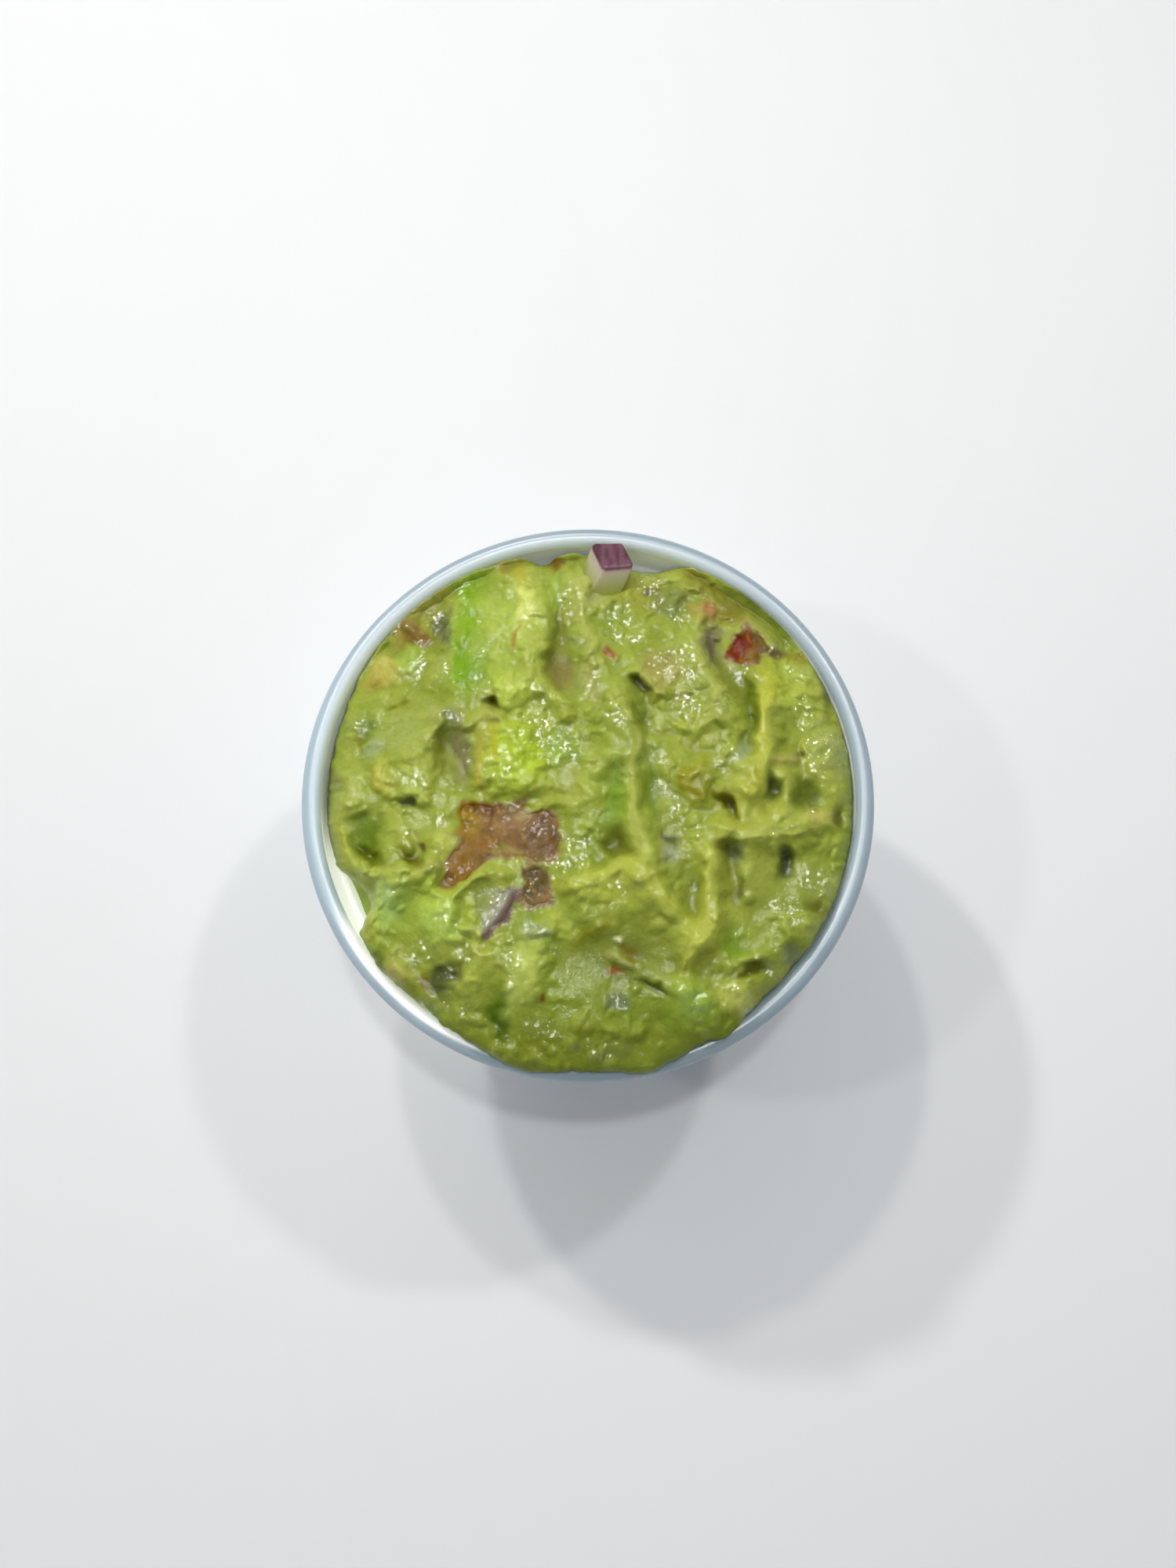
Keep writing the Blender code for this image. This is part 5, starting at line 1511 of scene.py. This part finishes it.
def dicedMesh(name, piece):
    # A piece in rings from its centre out to its edge, then down its side
    segments, rings, depth = piece["segments"], piece["rings"], piece["depth"]
    degrees = np.arange(segments) * 360 / segments
    reach = outlineRadius(piece, degrees)
    ways = np.column_stack([np.cos(np.radians(degrees)), np.sin(np.radians(degrees))])
    top = pieceTop(piece)
    centre = np.array([piece["centre"]])
    drawn = [centre]
    heights = [top + piece["shape"](*centre.T)]
    for ring in range(1, rings + 1):
        share = 1 - (1 - ring / rings) ** dicedForm["ringCrowding"]
        drawn.append(centre + ways * (reach * share)[:, None])
        heights.append(pieceSkin(piece, *drawn[-1].T, (1 - share) * reach))
    for drop in (*dicedForm["sideDrops"], depth):
        drawn.append(drawn[rings])
        heights.append(np.full(segments, top - drop))
    drawn.append(centre)
    heights.append([top - depth])
    u, v = np.vstack(drawn).T
    places = np.column_stack([*toSpace(u, v, top), np.concatenate(heights)])
    shine = smoothStep(0.4 + noise(u, v, "wetness")) * piece.get("wetness", 1)
    shine = shine * smoothStep(-outsideOf(piece, u, v) / dicedForm["dryEdge"] - 0.3)
    faces = shellFaces(len(drawn) - 2, segments)
    return meshOf(name, places, faces, piece["paint"](u, v), {"hollowShade": 0 * u, "shine": shine})


tomatoColours = {"base": (150, 119, 78), "streak": (168, 132, 66), "streakShare": 0.35, "dark": 0.28}

tomatoTints = {
    "amberEnd": ((-14.8, -5.2), (1.5, 2.2), 0, (158, 128, 30), 1.0),
    "amberFoot": ((-15.8, -11.4), (1.3, 1.8), -20, (138, 100, 14), 0.9),
    "middle": ((-10.2, -6.3), (2.6, 1.6), 0, (150, 118, 86), 0.6),
    "middleLow": ((-12, -8.2), (2.0, 1.0), 0, (146, 100, 48), 0.6),
    "farEnd": ((-5.8, -7.2), (2.2, 2.8), 0, (118, 96, 74), 0.8),
    "farTop": ((-5.2, -5.0), (1.0, 0.9), 0, (138, 110, 94), 0.6),
    "backEdge": ((-12.5, -3.6), (2.6, 0.6), 0, (116, 78, 46), 0.8),
    "paleFlap": ((-8, -3.9), (1.5, 0.6), 15, (188, 170, 128), 0.75),
    "mashSmear": ((-10.3, -9.3), (2.0, 0.5), 0, (160, 156, 84), 0.6),
    "lower": ((-6.4, -13.6), (2.0, 3.0), 0, (102, 93, 62), 0.9),
    "lowerPale": ((-6.2, -12.4), (0.8, 0.5), 0, (124, 100, 80), 0.5),
    "wedgeFace": ((19.6, 17.8), (1.4, 2.6), -35, (126, 58, 0), 1.0),
    "wedgeSide": ((22.4, 18.4), (1.1, 2.2), 35, (104, 80, 30), 0.9),
    "wedgeFoot": ((21.8, 16.3), (1.2, 0.5), 0, (124, 94, 46), 0.8),
}


def tomatoShape(u, v):
    across = 0.9 * u + 0.5 * v
    fibres = 0.05 * np.sin(across * 2.6 + noise(u, v, "fibres"))
    return fibres + noise(u, v, "tomatoFace") + noise(u, v, "tomatoFaceFine")


def tomatoTint(u, v):
    colour = srgb(*tomatoColours["base"]) + 0 * u[..., None]
    colour = coloured(*wander(u, v, 0.7), colour, tomatoTints)
    streak = smoothStep(noise(0.9 * u + 0.5 * v, 0.3 * (v - u), "tomatoStreaks") - 0.2)
    colour = blend(colour, tomatoColours["streak"], tomatoColours["streakShare"] * streak)
    dark = smoothStep(noise(u, v, "tomatoDark") - 0.1)[..., None]
    return cleared(colour * (1 - tomatoColours["dark"] * dark))


onionWedge = {
    # Along and across the drawing, where the purple outer side runs
    "sideV": [-20.2, -19, -17.6, -16, -14.3, -13.9],
    "sideU": [-12.5, -11.4, -10.3, -9.3, -8.6, -9.4],
    "sideDrop": 0.4,
    "pale": (165, 166, 139),
    "green": (156, 168, 86),
    "purple": (110, 78, 82),
    "greenShare": 0.9,
    "purpleShare": 0.85,
    "layers": 0.14,
}


def onionSide(u, v):
    # How far a place lies in from the onion wedge's curved outer side
    return np.interp(v, onionWedge["sideV"], onionWedge["sideU"]) - u


def onionShape(u, v):
    drop = onionWedge["sideDrop"] * smoothStep(1 - onionSide(u, v) / 1.3)
    return noise(u, v, "onionFace") - drop


def onionTint(u, v):
    inward = onionSide(u, v)
    layer = smoothStep(0.5 + noise(inward, 0.2 * v, "onionLayers"))[..., None]
    green = smoothStep((inward - 1.4) / 2.2)
    colour = blend(srgb(*onionWedge["pale"]), onionWedge["green"], onionWedge["greenShare"] * green)
    colour = colour * (1 - onionWedge["layers"] * (1 - layer))
    purple = smoothStep(1.15 - inward / 1.1)
    return cleared(blend(colour, onionWedge["purple"], onionWedge["purpleShare"] * purple))


tomatoMaterial = foodMaterial("tomatoFlesh", tomatoLook)
onionMaterial = foodMaterial("onionFlesh", onionLook)
guacamoleMaterial = foodMaterial("guacamole", guacamoleLook)

for name, piece in diced.items():
    onion = name.startswith("onion")
    piece["shape"], piece["paint"] = (onionShape, onionTint) if onion else (tomatoShape, tomatoTint)
    addPiece(name, dicedMesh(name, piece), piece["node"], onionMaterial if onion else tomatoMaterial)
print("diced pieces:", len(diced))


# Onion cube by the back of the rim

onionCube = {
    "skin": [(0.6, 33.9, 1.3), (4.7, 33.9, 1.3), (6.2, 30.2, 2.3), (2.2, 29.7, 2.5)],
    "root": [(-2.3, 28.3, -3.4), (2.5, 28.0, -3.5), (3.2, 24.2, -1.6), (-1.6, 23.9, -1.3)],
    "bevel": 0.35,
    "finest": 0.5,  # longest edge of the finished mesh
    "skinDepth": 0.32,
    "skinFade": 0.12,
    "blushDepth": 0.9,
    "blushShare": 0.6,
    "mashFrom": 0.42,  # share of the cube's length from where mash clings to it
    "mashShare": 0.9,
    "purple": (122, 84, 98),
    "purpleDark": (92, 58, 70),
    "flesh": (198, 192, 166),
    "fleshDeep": (150, 158, 70),
    "blush": (186, 160, 158),
    "mash": (160, 168, 80),
}


def cubeBody():
    # The hull of the eight corners with soft edges, in small triangles
    shape = bmesh.new()
    for place in toMetres(onionCube["skin"] + onionCube["root"]):
        shape.verts.new(place)
    bmesh.ops.convex_hull(shape, input=shape.verts)
    bmesh.ops.dissolve_limit(shape, angle_limit=math.radians(4), verts=shape.verts, edges=shape.edges)
    bevel = {"offset": onionCube["bevel"] * mm, "segments": 3, "profile": 0.6}
    bmesh.ops.bevel(shape, geom=shape.edges[:], affect="EDGES", **bevel)
    bmesh.ops.triangulate(shape, faces=shape.faces)
    for _ in range(4):
        long = [e for e in shape.edges if e.calc_length() > onionCube["finest"] * mm]
        bmesh.ops.subdivide_edges(shape, edges=long, cuts=1)
        bmesh.ops.triangulate(shape, faces=shape.faces)
    bmesh.ops.recalc_face_normals(shape, faces=shape.faces)
    # The hull comes in another order each run, so points and faces are put in a fixed one
    points = sorted(shape.verts, key=lambda vert: tuple(vert.co))
    for index, vert in enumerate(points):
        vert.index = index
    faces = []
    for face in shape.faces:
        corners = [vert.index for vert in face.verts]
        first = corners.index(min(corners))
        faces.append(corners[first:] + corners[:first])
    mesh = bpy.data.meshes.new("onionCubeFine")
    mesh.from_pydata([tuple(vert.co) for vert in points], [], sorted(faces))
    shape.free()
    mesh.shade_smooth()
    return mesh


def cubeTint(places):
    # Purple skin on top, flesh that is greener lower down, and mash clinging to its foot
    c = onionCube
    skin, root = np.array(c["skin"]), np.array(c["root"])
    outward = np.cross(skin[1] - skin[0], skin[3] - skin[0])
    outward /= np.linalg.norm(outward)
    outward *= np.sign(np.dot(outward, skin.mean(0) - root.mean(0)))
    depth = (skin.mean(0) - places) @ outward
    share = depth / float((skin.mean(0) - root.mean(0)) @ outward)
    x, y, z = places.T
    purple = blend(srgb(*c["purple"]), c["purpleDark"], smoothStep(0.5 + noise(x, 0.25 * y, "skinStreaks")))
    flesh = blend(srgb(*c["flesh"]), c["fleshDeep"], smoothStep(share * 1.9))
    blush = smoothStep(1 - (depth - c["skinDepth"]) / c["blushDepth"])
    flesh = blend(flesh, c["blush"], c["blushShare"] * blush)
    clung = noise(x, y + z, "clungMash") + 0.06 * (skin[0, 0] - x)
    flesh = blend(flesh, c["mash"], c["mashShare"] * smoothStep((share - c["mashFrom"] + clung) / 0.16))
    inside = smoothStep((depth - c["skinDepth"]) / c["skinFade"])[:, None]
    return purple + (flesh - purple) * inside


cubeMesh = cubeBody()
cubePlaces = np.array([v.co for v in cubeMesh.vertices]) / mm - (0, 0, cupHeight)
paint(cubeMesh, cubeTint(cubePlaces), {})
addPiece("onionCubeFine", cubeMesh, "onion_cube", onionMaterial)
print("onion cube:", len(cubeMesh.polygons), "faces")


# The heap itself, with its grain from a node tree

mash = {
    "Swirl Scale": 260.0,
    "Swirl": 0.0022,
    "Lump Size": 0.0014,
    "Lump Height": 0.0004,
    "Grain Size": 0.0010,
    "Grain Height": 0.0003,
}


def mashTree():
    # Lumps and grain along the normals, where the heap is loose
    given = {"Heap": "Geometry", "Finish": "Material"} | floats(*mash)
    tree, given, out = newTree("mashGrain", "GeometryNodeTree", given, {"Heap": "Geometry"})
    place = addNode(tree, "GeometryNodeInputPosition").outputs[0]
    swirl = noiseTexture(tree, place, given["Swirl Scale"], detail=2.0, output="Color")
    moved = vectors(tree, "ADD", {0: place, 1: vectors(tree, "SCALE", {0: swirl, "Scale": given["Swirl"]})})
    cells = {"Vector": moved, "Scale": maths(tree, "DIVIDE", 1.0, given["Lump Size"]), "Smoothness": 0.35}
    cells = addNode(tree, "ShaderNodeTexVoronoi", cells, feature="SMOOTH_F1").outputs["Distance"]
    grain = noiseTexture(tree, moved, maths(tree, "DIVIDE", 1.0, given["Grain Size"]), detail=2.0)
    lift = maths(tree, "MULTIPLY", maths(tree, "SUBTRACT", 0.45, cells), given["Lump Height"])
    crumb = maths(tree, "MULTIPLY", maths(tree, "SUBTRACT", grain, 0.5), given["Grain Height"])
    loose = addNode(tree, "GeometryNodeInputNamedAttribute", {"Name": "loose"}, data_type="FLOAT").outputs[0]
    amount = maths(tree, "MULTIPLY", maths(tree, "ADD", lift, crumb), loose)
    normal = addNode(tree, "GeometryNodeInputNormal").outputs[0]
    offset = vectors(tree, "SCALE", {0: normal, "Scale": amount})
    shaped = addNode(tree, "GeometryNodeSetPosition", {"Geometry": given["Heap"], "Offset": offset})
    whole = addNode(tree, "GeometryNodeRealizeInstances", {"Geometry": shaped.outputs[0]})
    painted = {"Geometry": whole.outputs[0], "Material": given["Finish"]}
    feed(tree, out, {"Heap": addNode(tree, "GeometryNodeSetMaterial", painted).outputs[0]})
    return tree


heapPiece = newObject("guacamoleHeap", buildHeap())
bake(heapPiece, mashTree(), mash | {"Finish": guacamoleMaterial})
heapPiece.data.shade_smooth()
claim(heapPiece, "guacamole")
print("heap:", len(heapPiece.data.polygons), "faces")


# Floor, lights and camera

studio = {
    "floorSize": 4.0,
    "floorColour": (0.86, 0.87, 0.88, 1.0),
    "worldColour": (0.93, 0.96, 1.0, 1.0),
    "worldStrength": 0.27,
    "aim": (0, 0, 0.04),
    "lampSize": 0.03,
    "softSize": 0.6,
}
# Place, power, colour
lamps = {
    "key": ((-0.24, 0.30, 0.40), 0.74, (1.0, 0.98, 0.93)),
    "keyBeside": ((-0.12, 0.31, 0.46), 0.5, (1.0, 0.98, 0.93)),
    "lampBack": ((0.20, 0.22, 0.42), 0.42, (1.0, 0.99, 0.96)),
    "lampLeft": ((-0.28, -0.03, 0.42), 0.2, (0.98, 0.99, 1.0)),
    "lampTop": ((0.02, 0.02, 0.6), 0.5, (1.0, 1.0, 1.0)),
    "soft": ((0.0, 0.25, 0.8), 0.36, (0.97, 0.99, 1.0)),
}
# Lamps for the glints on the wet film, which leave the flat colours alone
sparkles = {
    "size": 0.09,
    "power": 0.75,
    "places": [(-0.13, 0.17, 0.46), (0.12, 0.19, 0.46), (0.03, 0.02, 0.52), (-0.04, 0.29, 0.42)],
}
view = {
    "place": (0.0, -0.04494, 0.20294),
    "along": (0.0, 0.27012, -0.96283),
    "lens": 30.0,
    "sensor": 36.0,
    "nearest": 0.01,
}


def addLamp(name, place, power, colour, size):
    lamp = bpy.data.lights.new(name, "AREA")
    lamp.shape = "DISK"
    lamp.size = size
    lamp.energy = power
    lamp.color = colour
    item = newObject(name, lamp)
    item.location = place
    item.rotation_euler = (Vector(studio["aim"]) - item.location).to_track_quat("-Z", "Y").to_euler()
    return item


def addFloor():
    reach = studio["floorSize"] / 2
    corners = [(-reach, -reach, 0), (reach, -reach, 0), (reach, reach, 0), (-reach, reach, 0)]
    mesh = bpy.data.meshes.new("floor")
    mesh.from_pydata(corners, [], [(0, 1, 2, 3)])
    made, tree, shader = newMaterial("paleFloor")
    feed(tree, shader, {"Base Color": studio["floorColour"], "Roughness": 0.8})
    mesh.materials.append(made)
    newObject("floor", mesh)


def addCamera():
    camera = bpy.data.cameras.new("camera")
    camera.lens = view["lens"]
    camera.sensor_fit = "VERTICAL"
    camera.sensor_height = view["sensor"]
    camera.clip_start = view["nearest"]
    viewer = newObject("camera", camera)
    viewer.location = view["place"]
    viewer.rotation_euler = (math.atan2(view["along"][1], -view["along"][2]), 0.0, 0.0)
    bpy.context.scene.camera = viewer


addFloor()
for name, lamp in lamps.items():
    addLamp(name, *lamp, studio["softSize" if name == "soft" else "lampSize"])
for place, letter in zip(sparkles["places"], "ABCD"):
    sparkle = addLamp("sparkle" + letter, place, sparkles["power"], (1.0, 1.0, 1.0), sparkles["size"])
    sparkle.visible_diffuse = False
addCamera()

world = bpy.data.worlds.new("studio")
world.use_nodes = True
background = {"Color": studio["worldColour"], "Strength": studio["worldStrength"]}
feed(world.node_tree, world.node_tree.nodes["Background"], background)
bpy.context.scene.world = world
bpy.context.scene.view_settings.view_transform = "Standard"
